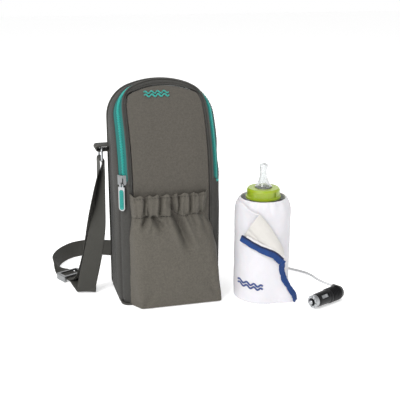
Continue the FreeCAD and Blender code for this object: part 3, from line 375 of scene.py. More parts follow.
def stitches(name, path, normals, look, length=2.6, gap=1.3, width=0.55, lift=0.15):
    """A row of sewn stitches along a path: each is its own small rounded bar."""
    points, faces = [], []
    reach = [0.0]
    for a, b in zip(path, path[1:]):
        reach.append(reach[-1] + (b - a).length)

    def at(distance):
        k = min(max(int(np.searchsorted(reach, distance)) - 1, 0), len(path) - 2)
        t = (distance - reach[k]) / max(reach[k + 1] - reach[k], 1e-9)
        return path[k].lerp(path[k + 1], t), normals[k].lerp(normals[k + 1], t).normalized()

    start = gap / 2
    while start + length < reach[-1]:
        base = len(points)
        for share, size in ((0.0, 0.35), (0.2, 1.0), (0.8, 1.0), (1.0, 0.35)):
            p, n = at(start + length * share)
            q, _ = at(min(start + length * share + 0.2, reach[-1]))
            along = (q - p).normalized() if (q - p).length > 1e-6 else (path[-1] - path[-2]).normalized()
            side = along.cross(n).normalized()
            for c, h in ((-1, 0), (-0.6, 0.8), (0.6, 0.8), (1, 0), (0, -0.6)):
                points.append(p + side * (c * width / 2 * size) + n * (lift + h * width / 2 * size - 0.1))
        faces += bar_faces(base, 5, 4)
        start += length + gap
    return solid(name, points, faces, look)


BAG_TO_LID = ("bag", "lid")


def fix(piece, slot, body, *nodes):
    """Hide the CAD nodes a piece shows and hang the piece on the body it rides on; with BAG_TO_LID its
    transform is only baked in. The slot is not used."""
    if nodes:
        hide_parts(*nodes)
    if body == BAG_TO_LID:
        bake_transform(piece)
    else:
        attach(piece, body)


def ease(t):
    t = min(max(t, 0.0), 1.0)
    return t * t * (3 - 2 * t)


def bell(distance, width):
    return math.exp(-(distance / width) ** 2)


def knots(value, table):
    """Smooth interpolation in a table of (place, value)."""
    if value <= table[0][0]:
        return table[0][1]
    for (a, va), (b, vb) in zip(table, table[1:]):
        if value <= b:
            return va + (vb - va) * ease((value - a) / (b - a))
    return table[-1][1]


def rough(p, size, seed=0.0):
    """Smooth noise from -1 to 1 with features of about size millimetres."""
    return noise.noise(Vector((p[0] / size + seed, p[1] / size, p[2] / size)))


# ---- the bag's outer surface ---------------------------------------------------------
bag_high = corners("gusset")[1]
HALF_WIDTH = bag_high.x
HALF_DEPTH = bag_high.y
HEIGHT = bag_high.z
LEAN_START = 144.0
LEAN_RADIUS = 180.0
CORNER_RADIUS = 42.0
TOP_RADIUS = 112.0
FRONT_ROUND = 22.0
BACK_ROUND = 8.0
FOOT_ROUND = 7.0
CORNER_X = HALF_WIDTH - CORNER_RADIUS
TOP_CENTRE_Z = HEIGHT - TOP_RADIUS
CORNER_Z = TOP_CENTRE_Z + math.sqrt((TOP_RADIUS - CORNER_RADIUS) ** 2 - CORNER_X ** 2)
CORNER_ANGLE = math.atan2(CORNER_Z - TOP_CENTRE_Z, CORNER_X)
CORNER_LENGTH = CORNER_RADIUS * CORNER_ANGLE
OUTLINE_LENGTH = 2 * (CORNER_Z + CORNER_LENGTH + TOP_RADIUS * (math.pi / 2 - CORNER_ANGLE))
FOLD_Z = corners("lid_panel")[0].z
ZIP_START_Z = corners("zip_coil_bag")[0].z
ZIP_DEPTH = 6.0
TAPE_FRONT = (2.1, 2.95)
TAPE_BACK = (12.8, 9.7)
PANEL_INSET = [(0.0, 17.0), (0.35, 13.0), (0.75, 4.5), (1.0, 4.2)]
COIL_HEIGHT = 1.0
SEAM_DEPTH = 12.0


def front_y(z, inset=0.0):
    if z <= LEAN_START:
        return inset - HALF_DEPTH
    return LEAN_RADIUS - HALF_DEPTH - math.sqrt((LEAN_RADIUS - inset) ** 2 - (z - LEAN_START) ** 2)


def front_normal(y, z):
    if z <= LEAN_START:
        return -Y
    return Vector((0, y - LEAN_RADIUS + HALF_DEPTH, z - LEAN_START)).normalized()


def outline(s):
    """Point and outward direction in X and Z, s along the front outline from the left foot."""
    side = -1
    if s > OUTLINE_LENGTH / 2:
        s, side = OUTLINE_LENGTH - s, 1
    if s < CORNER_Z:
        return Vector((side * HALF_WIDTH, 0, s)), X * side
    s -= CORNER_Z
    if s < CORNER_LENGTH:
        a = s / CORNER_RADIUS
        out = Vector((side * math.cos(a), 0, math.sin(a)))
        return Vector((side * CORNER_X, 0, CORNER_Z)) + out * CORNER_RADIUS, out
    a = CORNER_ANGLE + (s - CORNER_LENGTH) / TOP_RADIUS
    out = Vector((side * math.cos(a), 0, math.sin(a)))
    return Vector((0, 0, TOP_CENTRE_Z)) + out * TOP_RADIUS, out


def section(s):
    """Outline point at s, the centre of the rolled front edge, the directions to the side and the
    front, and the angle between them."""
    p, out = outline(s)
    centre = p - out * FRONT_ROUND
    centre.y = front_y(centre.z, FRONT_ROUND)
    face = front_normal(centre.y, centre.z)
    return p, centre, out, face, face.angle(out)


def skin(s, q, lift=0.0):
    """Point on the bag: s along the outline, q across it from where the front starts to roll back."""
    p, centre, out, face, roll = section(s)
    arc = FRONT_ROUND * roll
    back_start = HALF_DEPTH - BACK_ROUND
    if q < 0:
        x, z = centre.x + q * out.x, centre.z + FRONT_ROUND * face.z + q * out.z
        spot, normal = Vector((x, front_y(z), z)), front_normal(front_y(z), z)
    elif q < arc:
        a = q / FRONT_ROUND
        normal = (face * math.sin(roll - a) + out * math.sin(a)) / math.sin(roll)
        spot = centre + normal * FRONT_ROUND
    elif centre.y + q - arc < back_start:
        spot, normal = Vector((p.x, centre.y + q - arc, p.z)), out.copy()
    else:
        a = (centre.y + q - arc - back_start) / BACK_ROUND
        turn = min(a, math.pi / 2)
        normal = out * math.cos(turn) + Y * math.sin(turn)
        inward = out * (BACK_ROUND + (a - turn) * BACK_ROUND)
        spot = Vector((p.x, back_start, p.z)) - inward + normal * BACK_ROUND
    spot += normal * lift
    if spot.z < FOOT_ROUND:
        tuck = FOOT_ROUND - math.sqrt(max(FOOT_ROUND ** 2 - (FOOT_ROUND - max(spot.z, 0.0)) ** 2, 0.0))
        spot -= Vector((normal.x, normal.y, 0)) * tuck * 0.7
    return spot


def across(s, depth):
    """How far across the surface lies at a depth behind the front."""
    p, centre, _, _, roll = section(s)
    a = math.acos(1 - depth / FRONT_ROUND)
    if a <= roll:
        return FRONT_ROUND * a
    return FRONT_ROUND * roll + front_y(p.z, depth) - centre.y


def at_inset(s, inset):
    """How far across the surface lies at an inset from the outline."""
    roll = section(s)[4]
    rest = math.acos(1 - inset / FRONT_ROUND)
    if rest <= roll:
        return FRONT_ROUND * (roll - rest)
    return FRONT_ROUND * (1 - math.cos(roll)) - inset


def back_edge(s):
    """Where the side starts to turn into the back."""
    _, centre, _, _, roll = section(s)
    return FRONT_ROUND * roll + HALF_DEPTH - BACK_ROUND - centre.y


def panel_edge(s):
    """Seam between the light front and its border, nearer the outline at the crown."""
    return at_inset(s, knots(outline(s)[1].z, PANEL_INSET))


def crown(s):
    """0 along the upright sides, 1 where the outline has turned to the top."""
    return ease((outline(s)[1].z - 0.1) / 0.75)


def tape_front(s):
    """Line across the surface where the zip's front tape comes out of its seam."""
    return across(s, TAPE_FRONT[0] + (TAPE_FRONT[1] - TAPE_FRONT[0]) * crown(s))


def tape_back(s):
    return across(s, TAPE_BACK[0] + (TAPE_BACK[1] - TAPE_BACK[0]) * crown(s))


def height_at(s):
    return outline(s)[0].z


def zip_share(s):
    """1 where the zip runs, 0 below its lower ends."""
    return ease((height_at(s) - ZIP_START_Z + 3) / 6)


def walk(s_from, steps):
    """Places along the outline, from s_from up one side and down the other."""
    return [s_from + (OUTLINE_LENGTH - 2 * s_from) * k / steps for k in range(steps + 1)]


def outward(s, q):
    """Direction away from the bag's surface."""
    return (skin(s, q, 5) - skin(s, q, 0)).normalized()


def sway(p, amount=1.0):
    """Soft unevenness of stuffed cloth."""
    return amount * (0.9 * rough(p, 70) + 0.4 * rough(p, 26, 5.0))


# ---- bag: fabric panels --------------------------------------------------------------
SEAM_DIP = 1.1
SEAM_WIDTH = 2.2
STITCHED_WIDTH = 9.0
STITCH_FOOT = 6.0
STITCH_STEPS = 220
CLOTH_THICK = 1.1
RING_AT_Z = 184.0
RIM_STEPS = 150
PANEL_FOOT = 2.0
SEAM_GAP = 0.4


def dip(distance):
    """How far cloth is pulled in beside a seam."""
    return -SEAM_DIP * bell(distance, SEAM_WIDTH)


def rim_strip(name, look, q_from, q_to, columns, lift, s_from, thick=CLOTH_THICK):
    """Cloth that follows the outline between two lines across the surface."""
    rows = []
    for s in walk(s_from, RIM_STEPS):
        low, high = q_from(s), q_to(s)
        row = []
        for j in range(columns + 1):
            t = 0.5 - 0.5 * math.cos(math.pi * j / columns)
            q = low + (high - low) * t
            row.append(skin(s, q, lift(s, q - low, high - q)))
        rows.append(row)
    return cloth(name, rows, look, thick, flip=True)


def filled(rim, s_foot, rows_n, columns_n):
    """Grid between a rim's two sides, foot and crown: at each point its shares across and up, its
    place, the width between the sides and the height from foot to crown."""
    s_corner = CORNER_Z + CORNER_LENGTH * 0.45
    s_last = OUTLINE_LENGTH - s_corner
    grid = []
    for i in range(rows_n + 1):
        v = i / rows_n
        rise = (s_corner - s_foot) * v
        left, right = rim(s_foot + rise), rim(OUTLINE_LENGTH - s_foot - rise)
        row = []
        for j in range(columns_n + 1):
            u = j / columns_n
            top = rim(s_corner + (s_last - s_corner) * u)
            low = rim(s_foot).lerp(rim(OUTLINE_LENGTH - s_foot), u)
            spot = left.lerp(right, u) + low.lerp(top, v) - low.lerp(rim(s_corner).lerp(rim(s_last), u), v)
            row.append((u, v, spot, right.x - left.x, top.z - low.z))
        grid.append(row)
    return grid


def border_end(s):
    """Back edge of the border strip: at the zip tape above, at a plain seam below the zip."""
    share = zip_share(s)
    return share * tape_front(s) + (1 - share) * (across(s, SEAM_DEPTH) - 0.3)


def gusset_start(s):
    share = zip_share(s)
    return share * tape_back(s) + (1 - share) * (across(s, SEAM_DEPTH) + 0.3)


def make_front_panel():
    """The light front, one cloth from the pocket's floor to the crown."""
    def rim(s):
        p = skin(s, panel_edge(s) - SEAM_GAP, 0)
        return Vector((p.x, 0, p.z))

    rows = []
    for cells in filled(rim, PANEL_FOOT, 72, 40):
        row = []
        for u, v, spot, wide, tall in cells:
            edge = min(min(u, 1 - u) * wide, (1 - v) * tall)
            pillow = 2.4 * ease(edge / 30) + dip(edge)
            z = spot.z
            sunk = 0.5 * (1 - ease(edge / 4))
            place = Vector((spot.x, front_y(z) + sunk, z))
            place += front_normal(front_y(z), z) * (pillow + sway(place, 0.7) * ease(edge / 14))
            row.append(place)
        rows.append(row)
    panel = cloth("front_cloth", rows, LIGHT_CLOTH, CLOTH_THICK)
    fix(panel, "light_fabric", BAG_TO_LID, "front_panel", "lid_panel")


def make_border():
    """Dark strip between the light front and the zip, ridged at the crown."""
    def lift(s, inner, outer):
        p = skin(s, panel_edge(s), 0)
        puff = 1.3 * ease(min(inner, outer) / 6)
        ridge = 1.6 * crown(s) * ease((9 - outer) / 9)
        below_zip = ease((ZIP_START_Z - height_at(s)) / 25)
        ridge += 1.5 * rough(p, 13, 7.0) * below_zip * ease(min(inner, outer) / 4)
        return puff + ridge + dip(inner) + 0.5 * dip(outer) * (1 - zip_share(s)) + sway(p, 0.4) + 0.35

    border = rim_strip("border_cloth", DARK_CLOTH, lambda s: panel_edge(s) + SEAM_GAP, border_end, 14, lift,
                       1.0)
    fix(border, "dark_fabric", BAG_TO_LID, "lid_border")
    path, normals = [], []
    for s in walk(STITCH_FOOT, STITCH_STEPS):
        q = panel_edge(s) + 2.4
        path.append(skin(s, q, lift(s, 2.0, border_end(s) - q) + 0.05))
        normals.append(outward(s, q))
    row = stitches("border_stitching", path, normals, THREAD)
    fix(row, "dark_fabric", BAG_TO_LID)


def make_piping():
    """Corded edge beside the zip, standing proud of it."""
    path = [skin(s, tape_front(s) + 0.1, 0.5 + 2.3 * crown(s)) for s in walk(ZIP_START_Z - 1, RIM_STEPS)]
    piping = tube("lid_piping_cord", path, 1.1, DARK_CLOTH, sides=10)
    fix(piping, "dark_fabric", BAG_TO_LID, "lid_piping")


def make_gusset():
    """Side cloth with its stitching, and the welt along the back edge."""
    def lift(s, inner, outer):
        middle = min(inner, outer)
        slack = 1.6 * ease(middle / 18) - 1.2 * ease((middle - 12) / 22)
        z = height_at(s)
        crease = 0
        if z < 150:
            crease = -2.0 * bell(inner - 22 - 5 * math.sin(z / 40), 4.0) * ease((150 - z) / 40)
        if s > OUTLINE_LENGTH / 2:
            crease -= 1.8 * bell(z - RING_AT_Z, 11)
        p = skin(s, gusset_start(s) + inner, 0)
        seams = dip(inner) * (1 - zip_share(s)) + dip(outer)
        return slack + crease + seams + sway(p, 0.9) * ease(middle / 8) + 0.35

    side = rim_strip("side_cloth", DARK_CLOTH, gusset_start, back_edge, 26, lift, 1.0)
    fix(side, "dark_fabric", "bag", "gusset", "bag_foam")
    for name, at_q, shift in (("zip_side_stitching", gusset_start, 2.2),
                              ("back_edge_stitching", back_edge, -3.0)):
        runs = {"left": ([], []), "right": ([], [])}
        for s in walk(STITCH_FOOT, STITCH_STEPS):
            width = back_edge(s) - gusset_start(s)
            if width < STITCHED_WIDTH:
                continue
            q = at_q(s) + shift
            inner = shift if shift > 0 else width + shift
            path, normals = runs["left" if s < OUTLINE_LENGTH / 2 else "right"]
            path.append(skin(s, q, lift(s, inner, width - inner) + 0.05))
            normals.append(outward(s, q))
        for side_name, (path, normals) in runs.items():
            row = stitches(side_name + "_" + name, path, normals, THREAD)
            fix(row, "dark_fabric", "bag")
    welt_path = [skin(s, back_edge(s) + 1.2, 0.3) for s in walk(2, 160)]
    welt = tube("back_welt", welt_path, 1.3, DARK_CLOTH, sides=10)
    fix(welt, "dark_fabric", "bag")


def make_back():
    """Back panel: a soft rounded sheet inside the welt."""
    rows = []
    for cells in filled(lambda s: skin(s, back_edge(s) + 3.2, 0), PANEL_FOOT, 46, 28):
        row = []
        for u, v, spot, wide, tall in cells:
            edge = min(min(u, 1 - u) * wide, (1 - v) * tall, v * 200 + 2)
            spot.y += 1.9 * ease(edge / 26) + sway(spot, 0.9) * ease(edge / 12) - 0.4 * (1 - ease(edge / 3))
            row.append(spot)
        rows.append(row)
    back = cloth("back_cloth", rows, DARK_CLOTH, CLOTH_THICK, flip=True)
    fix(back, "dark_fabric", "bag", "back_panel")


def make_base_tape():
    """Bound seam where the sides meet the base."""
    inset = 1.6
    half_x, half_y, r = HALF_WIDTH - inset, HALF_DEPTH - inset, 9.0
    path = []
    for cx, cy, start in ((half_x - r, half_y - r, 0), (r - half_x, half_y - r, 90),
                          (r - half_x, r - half_y, 180), (half_x - r, r - half_y, 270)):
        for k in range(7):
            a = math.radians(start + 15 * k)
            path.append(Vector((cx + r * math.cos(a), cy + r * math.sin(a), 1.5)))
    tape = tube("base_binding", path, 1.45, DARK_CLOTH, sides=10, closed=True)
    fix(tape, "dark_fabric", "bag")


# ---- zip -----------------------------------------------------------------------------
TOOTH_PITCH = 1.7


def make_zip():
    """Two tapes and their rows of teeth."""
    start = ZIP_START_Z - 2
    for name, node, low, high, body in (
            ("zip_tape_front", "zip_tape_lid", lambda s: tape_front(s) - 0.4,
             lambda s: across(s, ZIP_DEPTH) - 0.15, BAG_TO_LID),
            ("zip_tape_back", "zip_tape_bag", lambda s: across(s, ZIP_DEPTH) + 0.15,
             lambda s: tape_back(s) + 0.6, "bag")):
        tape = rim_strip(name, TEAL_TAPE, low, high, 6, lambda s, a, b: -0.35 + 0.15 * ease(min(a, b) / 1.5),
                         start,
                         thick=0.6)
        fix(tape, "zip_teal", body, node)
    for name, node, side in (("zip_teeth_front", "zip_coil_lid", -1), ("zip_teeth_back", "zip_coil_bag", 1)):
        points, faces = [], []
        s = ZIP_START_Z + (TOOTH_PITCH / 2 if side > 0 else 0)
        while s < OUTLINE_LENGTH - ZIP_START_Z:
            middle = across(s, ZIP_DEPTH)
            base = len(points)
            for reach, wide, rise in ((-0.35, 0.42, 0.75), (0.5, 0.52, COIL_HEIGHT), (1.5, 0.5, COIL_HEIGHT),
                                      (2.1, 0.4, 0.35)):
                q = middle + side * reach
                for shift, h in ((-wide, 0.0), (-wide * 0.6, rise), (wide * 0.6, rise), (wide, 0.0)):
                    points.append(skin(s + shift, q, h - 0.1))
            faces += bar_faces(base, 4, 4, flip=side > 0)
            s += TOOTH_PITCH
        # Teeth in the lighter coil teal, which carries a painted highlight as well as the coil's own colour.
        teeth = solid(name, points, faces, TEAL_COIL_AND_HIGHLIGHT)
        fix(teeth, "zip_teal", BAG_TO_LID if side < 0 else "bag", node)


def make_pull_ribs():
    """Raised bars moulded on the pull's insert."""
    low, high = corners("pull_insert")
    front = Vector((-math.sin(math.acos(1 - ZIP_DEPTH / FRONT_ROUND)), -(1 - ZIP_DEPTH / FRONT_ROUND), 0))
    right = Vector((-front.y, front.x, 0))
    middle = (low + high) / 2
    half = 1.9
    points, faces = [], []
    bars = 9
    for k in range(bars):
        z = low.z + 4 + (high.z - low.z - 8) * k / (bars - 1)
        base = len(points)
        for x in (-half, half):
            for up, out in ((-0.7, 1.15), (-0.35, 1.7), (0.35, 1.7), (0.7, 1.15)):
                points.append(Vector((middle.x, middle.y, 0)) + right * x + front * out + Z * (z + up))
        faces += bar_faces(base, 4, 2)
    ribs = solid("pull_ribs", points, faces, TEAL_RUBBER, smooth=False)
    fix(ribs, "pull_rubber", "pull")


# ---- lining --------------------------------------------------------------------------
LINING_DEPTH = 7.8
FOIL_STEPS = 110


def inner_skin(s, q, depth):
    p = skin(s, q, -depth)
    p.z = max(p.z, 9.0)
    return p


def make_lining():
    """Foil lining of the body and of the lid, with a bound edge round the opening."""
    def crumple(p, amount):
        return amount * (rough(p, 16, 9.0) + 0.5 * rough(p, 7, 3.0))

    rows = []
    for s in walk(12, FOIL_STEPS):
        low, high = tape_back(s) + 0.8, back_edge(s) + 4
        row = []
        for j in range(19):
            q = low + (high - low) * j / 18
            p = inner_skin(s, q, 1.6 if j == 0 else LINING_DEPTH)
            row.append(inner_skin(s, q, (1.6 if j == 0 else LINING_DEPTH) + crumple(p, 0.7) * ease(j / 3)))
        rows.append(row)
    wall = cloth("body_lining", rows, FOIL, 0.5, offset=0)
    fix(wall, "foil_lining", "bag", "bag_lining")

    back_y = HALF_DEPTH - LINING_DEPTH
    for name, y, high_z, sign in (("back_lining", back_y, HEIGHT - 14, 1),
                                  ("front_lining", LINING_DEPTH - HALF_DEPTH, FOLD_Z - 1.5, -1)):
        rows = []
        for i in range(33):
            z = 9.5 + (high_z - 9.5) * i / 32
            half = HALF_WIDTH - LINING_DEPTH - 1.5
            if z > CORNER_Z:
                half = math.sqrt(max((TOP_RADIUS - LINING_DEPTH) ** 2 - (z - TOP_CENTRE_Z) ** 2, 4.0))
                reach = CORNER_X + math.sqrt(max((CORNER_RADIUS - LINING_DEPTH) ** 2 - (z - CORNER_Z) ** 2,
                                                 4.0))
                half = min(half, reach) - 1.5
            if sign < 0:
                half -= 9.0
            row = []
            for j in range(17):
                p = Vector((-half + 2 * half * j / 16, y, z))
                p.y += crumple(p, 0.9) * (0 if j in (0, 16) else 1)
                if sign < 0:
                    p.y += 6.0 * (1 - ease(min(j, 16 - j) / 2.0)) * 0.4
                row.append(p)
            rows.append(row)
        sheet = cloth(name, rows, FOIL, 0.5, offset=0, flip=sign > 0)
        fix(sheet, "foil_lining", "bag")

    floor_rows = [[Vector((x * (HALF_WIDTH - 9) / 8, y * (HALF_DEPTH - 9) / 6,
                           9.3 + crumple((x * 8, y * 8, 0), 0.5)))
                   for x in range(-8, 9)] for y in range(-6, 7)]
    floor = cloth("floor_lining", floor_rows, FOIL, 0.5, offset=0)
    fix(floor, "foil_lining", "bag")

    s_from = FOLD_Z + 4
    lid_rows = []
    for s in walk(s_from, 60):
        start = tape_front(s)
        row = [skin(s, start - 0.3, -0.9)]
        for j in range(1, 13):
            q = start - 1.2 * j
            depth = 1.4 + 5.6 * ease(j / 4)
            row.append(skin(s, q, -depth - crumple(skin(s, q, 0), 0.5) * ease(j / 6)))
        lid_rows.append(row)
    lid_rim = cloth("lid_lining_rim", lid_rows, FOIL, 0.5, offset=0)
    fix(lid_rim, "foil_lining", "lid", "lid_lining", "lid_foam")

    rows = []
    for cells in filled(lambda s: skin(s, tape_front(s) - 14.4, 0), s_from, 40, 26):
        row = []
        for u, v, spot, wide, tall in cells:
            y = front_y(spot.z)
            inside = min(min(u, 1 - u) * wide, (1 - v) * tall, v * tall)
            sunk = front_normal(y, spot.z) * (7.0 + crumple(spot, 0.9) * ease(inside / 8))
            row.append(Vector((spot.x, y, spot.z)) - sunk)
        rows.append(row)
    lid_sheet = cloth("lid_lining_cloth", rows, FOIL, 0.5, offset=0, flip=True)
    fix(lid_sheet, "foil_lining", "lid")

    for name, q_at, depth, body in (("opening_binding", lambda s: tape_back(s) + 1.0, 2.6, "bag"),
                                    ("lid_binding", lambda s: tape_front(s) - 1.2, 2.4, "lid")):
        path = [skin(s, q_at(s), -depth) for s in walk(s_from, 120)]
        edge = tube(name, path, 1.2, THREAD, sides=8)
        fix(edge, "dark_fabric", body)


# ---- pocket --------------------------------------------------------------------------
POCKET_FRONT = [(0, -60.5), (30, -60.5), (60, -60), (85, -58.8), (104, -56.6), (113, -54.0), (118, -51.6),
                (123, -53.0), (134, -53.6), (146, -51.6)]
POCKET_LEFT = [(0, -44), (40, -47.5), (90, -50), (118, -48.5), (146, -51.5)]
POCKET_RIGHT = [(0, 61), (40, 57), (73, 52), (92, 45.5), (108, 37.5), (118, 31), (128, 34), (146, 40)]
LEFT_ROOT = [(0, -56.5), (90, -55.5), (118, -52), (146, -54)]
RIGHT_ROOT = [(0, 65), (60, 62), (92, 55), (118, 43), (132, 44), (146, 47)]
POCKET_ROUND = [(0, 4), (40, 8), (80, 13), (118, 10), (146, 9)]
CINCH_Z = 118.5
POCKET_TOP = 146.0
# Folds pressed into the cloth: start x and z, end x and z, width at both ends, depth.
FOLDS = [(-33, 121, -44, 99, 2.4, 4.5, 6.5), (-27, 120, -11, 97, 2.4, 5.0, 6.5),
         (-5, 138, 24, 62, 3.4, 6.0, 11.0),
         (34, 122, 47, 84, 3.0, 6.0, 5.0), (8, 119, 13, 101, 2.2, 4.0, 3.0),
         (-46, 118, -50, 92, 2.2, 4.0, 3.0),
         (25, 119, 33, 98, 2.2, 4.0, 3.4), (-15, 119, -18, 103, 2.2, 3.6, 2.6),
         (-40, 4, -22, 30, 3.0, 7.0, 1.6),
         (54, 10, 38, 44, 3.0, 8.0, 1.4)]
# Gathers in the elastic casing: x, width and depth.
GATHERS = [(-46.0, 2.0, 2.2), (-36.8, 1.8, 6.8), (-32.8, 1.5, 4.2), (-24, 2.6, 0.9), (-16.8, 2.3, 7.0),
           (-8.0, 2.6, 1.0),
           (-0.6, 2.5, 7.6), (6.6, 1.8, 6.2), (14.5, 2.6, 1.2), (21.6, 2.0, 6.8), (28.0, 2.2, 2.6),
           (34.5, 2.0, 5.6)]
CASING_COLUMNS = 110


def press(x, z):
    """How far the folds push the pocket's cloth in."""
    deep = 0.0
    for x0, z0, x1, z1, wide0, wide1, amount in FOLDS:
        run = (x1 - x0) ** 2 + (z1 - z0) ** 2
        t = min(max(((x - x0) * (x1 - x0) + (z - z0) * (z1 - z0)) / run, 0.0), 1.0)
        gap = math.hypot(x - x0 - (x1 - x0) * t, z - z0 - (z1 - z0) * t)
        side = (x - x0) * (z1 - z0) - (z - z0) * (x1 - x0)
        wide = wide0 + (wide1 - wide0) * t
        fade = (1 - ease((t - 0.45) / 0.55)) * ease((t + 0.12) / 0.2)
        swell = 0.45 * bell(gap - wide * 1.9, wide) * (1 if side < 0 else 0.5)
        deep += amount * fade * (bell(gap, wide) - swell)
    return deep


def gather(x, z):
    deep = -1.6
    for place, wide, amount in GATHERS:
        drift = (z - 130) * 0.10 * math.sin(place)
        deep += amount * bell(x - place - drift, wide)
    return deep * ease((z - CINCH_Z + 1.5) / 6)


def bag_front_at(x):
    roll = max(abs(x) - HALF_WIDTH + FRONT_ROUND, 0.0)
    return FRONT_ROUND - HALF_DEPTH - math.sqrt(FRONT_ROUND ** 2 - min(roll, FRONT_ROUND) ** 2)


def pocket_plan(z, inset=0.0):
    """The pocket's line round its front at a height, from one side seam to the other."""
    front = knots(z, POCKET_FRONT) + inset
    left, right = knots(z, POCKET_LEFT) + inset, knots(z, POCKET_RIGHT) - inset
    root_left, root_right = knots(z, LEFT_ROOT), knots(z, RIGHT_ROOT)
    stops = [Vector((root_left, bag_front_at(root_left) + 0.8, z)), Vector((left, front, z)),
             Vector((right, front, z)), Vector((root_right, bag_front_at(root_right) + 0.8, z))]
    r = knots(z, POCKET_ROUND)
    line = []
    for k in (1, 2):
        into, out = (stops[k] - stops[k - 1]), (stops[k + 1] - stops[k])
        start = stops[k] - into.normalized() * min(r, into.length * 0.45)
        end = stops[k] + out.normalized() * min(r, out.length * 0.45)
        if k == 1:
            line += [stops[0].lerp(start, j / 4) for j in range(4)]
        line += [start.lerp(stops[k], j / 7).lerp(stops[k].lerp(end, j / 7), j / 7) for j in range(8)]
        if k == 1:
            next_start = stops[2] - out.normalized() * min(r, out.length * 0.45)
            line += [end.lerp(next_start, j / CASING_COLUMNS) for j in range(1, CASING_COLUMNS)]
        else:
            line += [end.lerp(stops[3], j / 4) for j in range(1, 5)]
    return line


def pocket_point(p, z, count, j):
    """Cloth moved off its plan line by folds, gathers and bulge."""
    edge = min(j, count - 1 - j)
    free = ease(edge / 6)
    arch = math.sin(math.pi * min(max((p.x + 50) / 100, 0), 1))
    bulge = 2.2 * arch * ease(z / 30) * (1 - ease((z - 84) / 34))
    deep = press(p.x, z)
    if z > CINCH_Z:
        deep = deep * (1 - 0.65 * ease((z - CINCH_Z) / 6)) + gather(p.x, z)
    moved = Vector(p)
    moved.y += (deep - bulge + sway(p, 0.9) * ease(z / 12)) * free
    return moved


def make_pocket():
    """Gathered pocket with its elastic casing and the two rows of stitching."""
    heights = [1.2, 2.5, 5] + [5 + (CINCH_Z - 5.0) * k / 56 for k in range(1, 57)]
    rows = []
    flat = pocket_plan(0.4)
    for inward in (0.8, 0.5, 0.2, 0.04):
        rows.append([Vector((p.x * (1 - 0.06 * inward), p.y + (2 - HALF_DEPTH - p.y) * inward, 0.9))
                     for p in flat])
    for z in heights:
        line = pocket_plan(z)
        rows.append([pocket_point(p, z, len(line), j) for j, p in enumerate(line)])
    body = cloth("pocket_cloth", rows, POCKET_CLOTH, 1.3)
    fix(body, "pocket_fabric", "bag", "pocket_front")

    rows = []
    for k in range(20):
        z = CINCH_Z - 0.6 + (POCKET_TOP - CINCH_Z + 0.6) * k / 19
        line = pocket_plan(z)
        puff = 0.9 * math.sin(math.pi * k / 19)
        row = []
        for j, p in enumerate(line):
            spot = pocket_point(p, z, len(line), j)
            spot.y -= puff
            scallop = 1.1 * math.sin(p.x * 0.55) + 0.8 * rough(p, 9, 2.0) - 0.45 * gather(p.x, 140)
            spot.z += scallop * ease((k - 8) / 11)
            row.append(spot)
        rows.append(row)
    band = cloth("pocket_casing", rows, POCKET_CLOTH, 1.8)
    fix(band, "pocket_fabric", "bag", "pocket_band", "pocket_elastic")

    for name, z, lift in (("casing_stitching", CINCH_Z + 0.4, 0.5),
                          ("pocket_top_stitching", POCKET_TOP - 3.0, 0.7)):
        line = pocket_plan(z)
        path = [pocket_point(p, z, len(line), j) for j, p in enumerate(line)][6:-6]
        if z > 130:
            for p in path:
                p.y -= 0.6
                p.z -= 0.35 * gather(p.x, 140)
        row = stitches(name, path, [-Y] * len(path), THREAD, lift=lift)
        fix(row, "pocket_fabric", "bag")


# ---- strap, tabs ---------------------------------------------------------------------
def band(name, path, sides, width, thick, look, columns=6, crown=0.0):
    """Woven tape along a path: sides gives the direction of its width at each point."""
    rows = []
    count = len(path)
    for k, p in enumerate(path):
        along = (path[min(k + 1, count - 1)] - path[max(k - 1, 0)]).normalized()
        side = (sides[k] - along * sides[k].dot(along)).normalized()
        up = along.cross(side)
        w = width(k / (count - 1)) if callable(width) else width
        rows.append([p + side * (w * (j / columns - 0.5)) + up * (crown * (1 - (2 * j / columns - 1) ** 2))
                     for j in range(columns + 1)])
    return cloth(name, rows, look, thick, offset=0)


def smooth(a, b, c, d, t):
    """Catmull-Rom curve between b and c."""
    square, cube = a * 2 - b * 5 + c * 4 - d, b * 3 - a - c * 3 + d
    return (b * 2 + (c - a) * t + square * t ** 2 + cube * t ** 3) * 0.5


def run_through(stations, steps):
    points, widths = [], []
    last = len(stations) - 1
    for k in range(last):
        four = [stations[min(max(k + j, 0), last)] for j in (-1, 0, 1, 2)]
        for j in range(steps):
            t = j / steps
            points.append(smooth(*[Vector(s[0]) for s in four], t))
            widths.append(smooth(*[Vector(s[1]) for s in four], t))
    points.append(Vector(stations[-1][0]))
    widths.append(Vector(stations[-1][1]))
    return points, widths


STRAP_WIDTH = 24.6
STRAP_THICK = 1.3
STRAP_TURN = 3.2
RING_LOW_Z = corners("ring_left")[0].z + 1.5
RING_TOP_Z = corners("ring_left")[1].z - 1.5
LEFT_RING = ((corners("ring_left")[0].x + corners("ring_left")[1].x) / 2, 26.0)
RIGHT_RING = ((corners("ring_right")[0].x + corners("ring_right")[1].x) / 2, 30.0)
ADJUSTER_AT = (corners("strap_adjuster")[0] + corners("strap_adjuster")[1]) / 2
ADJUSTER_AXIS = Vector((0.44, -0.898, 0))
FLAT = Vector((-0.898, -0.44, 0))
THROUGH_Z = 3.65
TAIL_Z = 5.3


def along_adjuster(distance, z):
    spot = ADJUSTER_AT + ADJUSTER_AXIS * distance
    return (spot.x, spot.y, z)


def over_ring(at, first_side):
    return [((at[0] - first_side * STRAP_TURN * math.cos(k * math.pi / 4), at[1],
              RING_LOW_Z + STRAP_TURN * math.sin(k * math.pi / 4)), (0, 1, 0)) for k in range(5)]


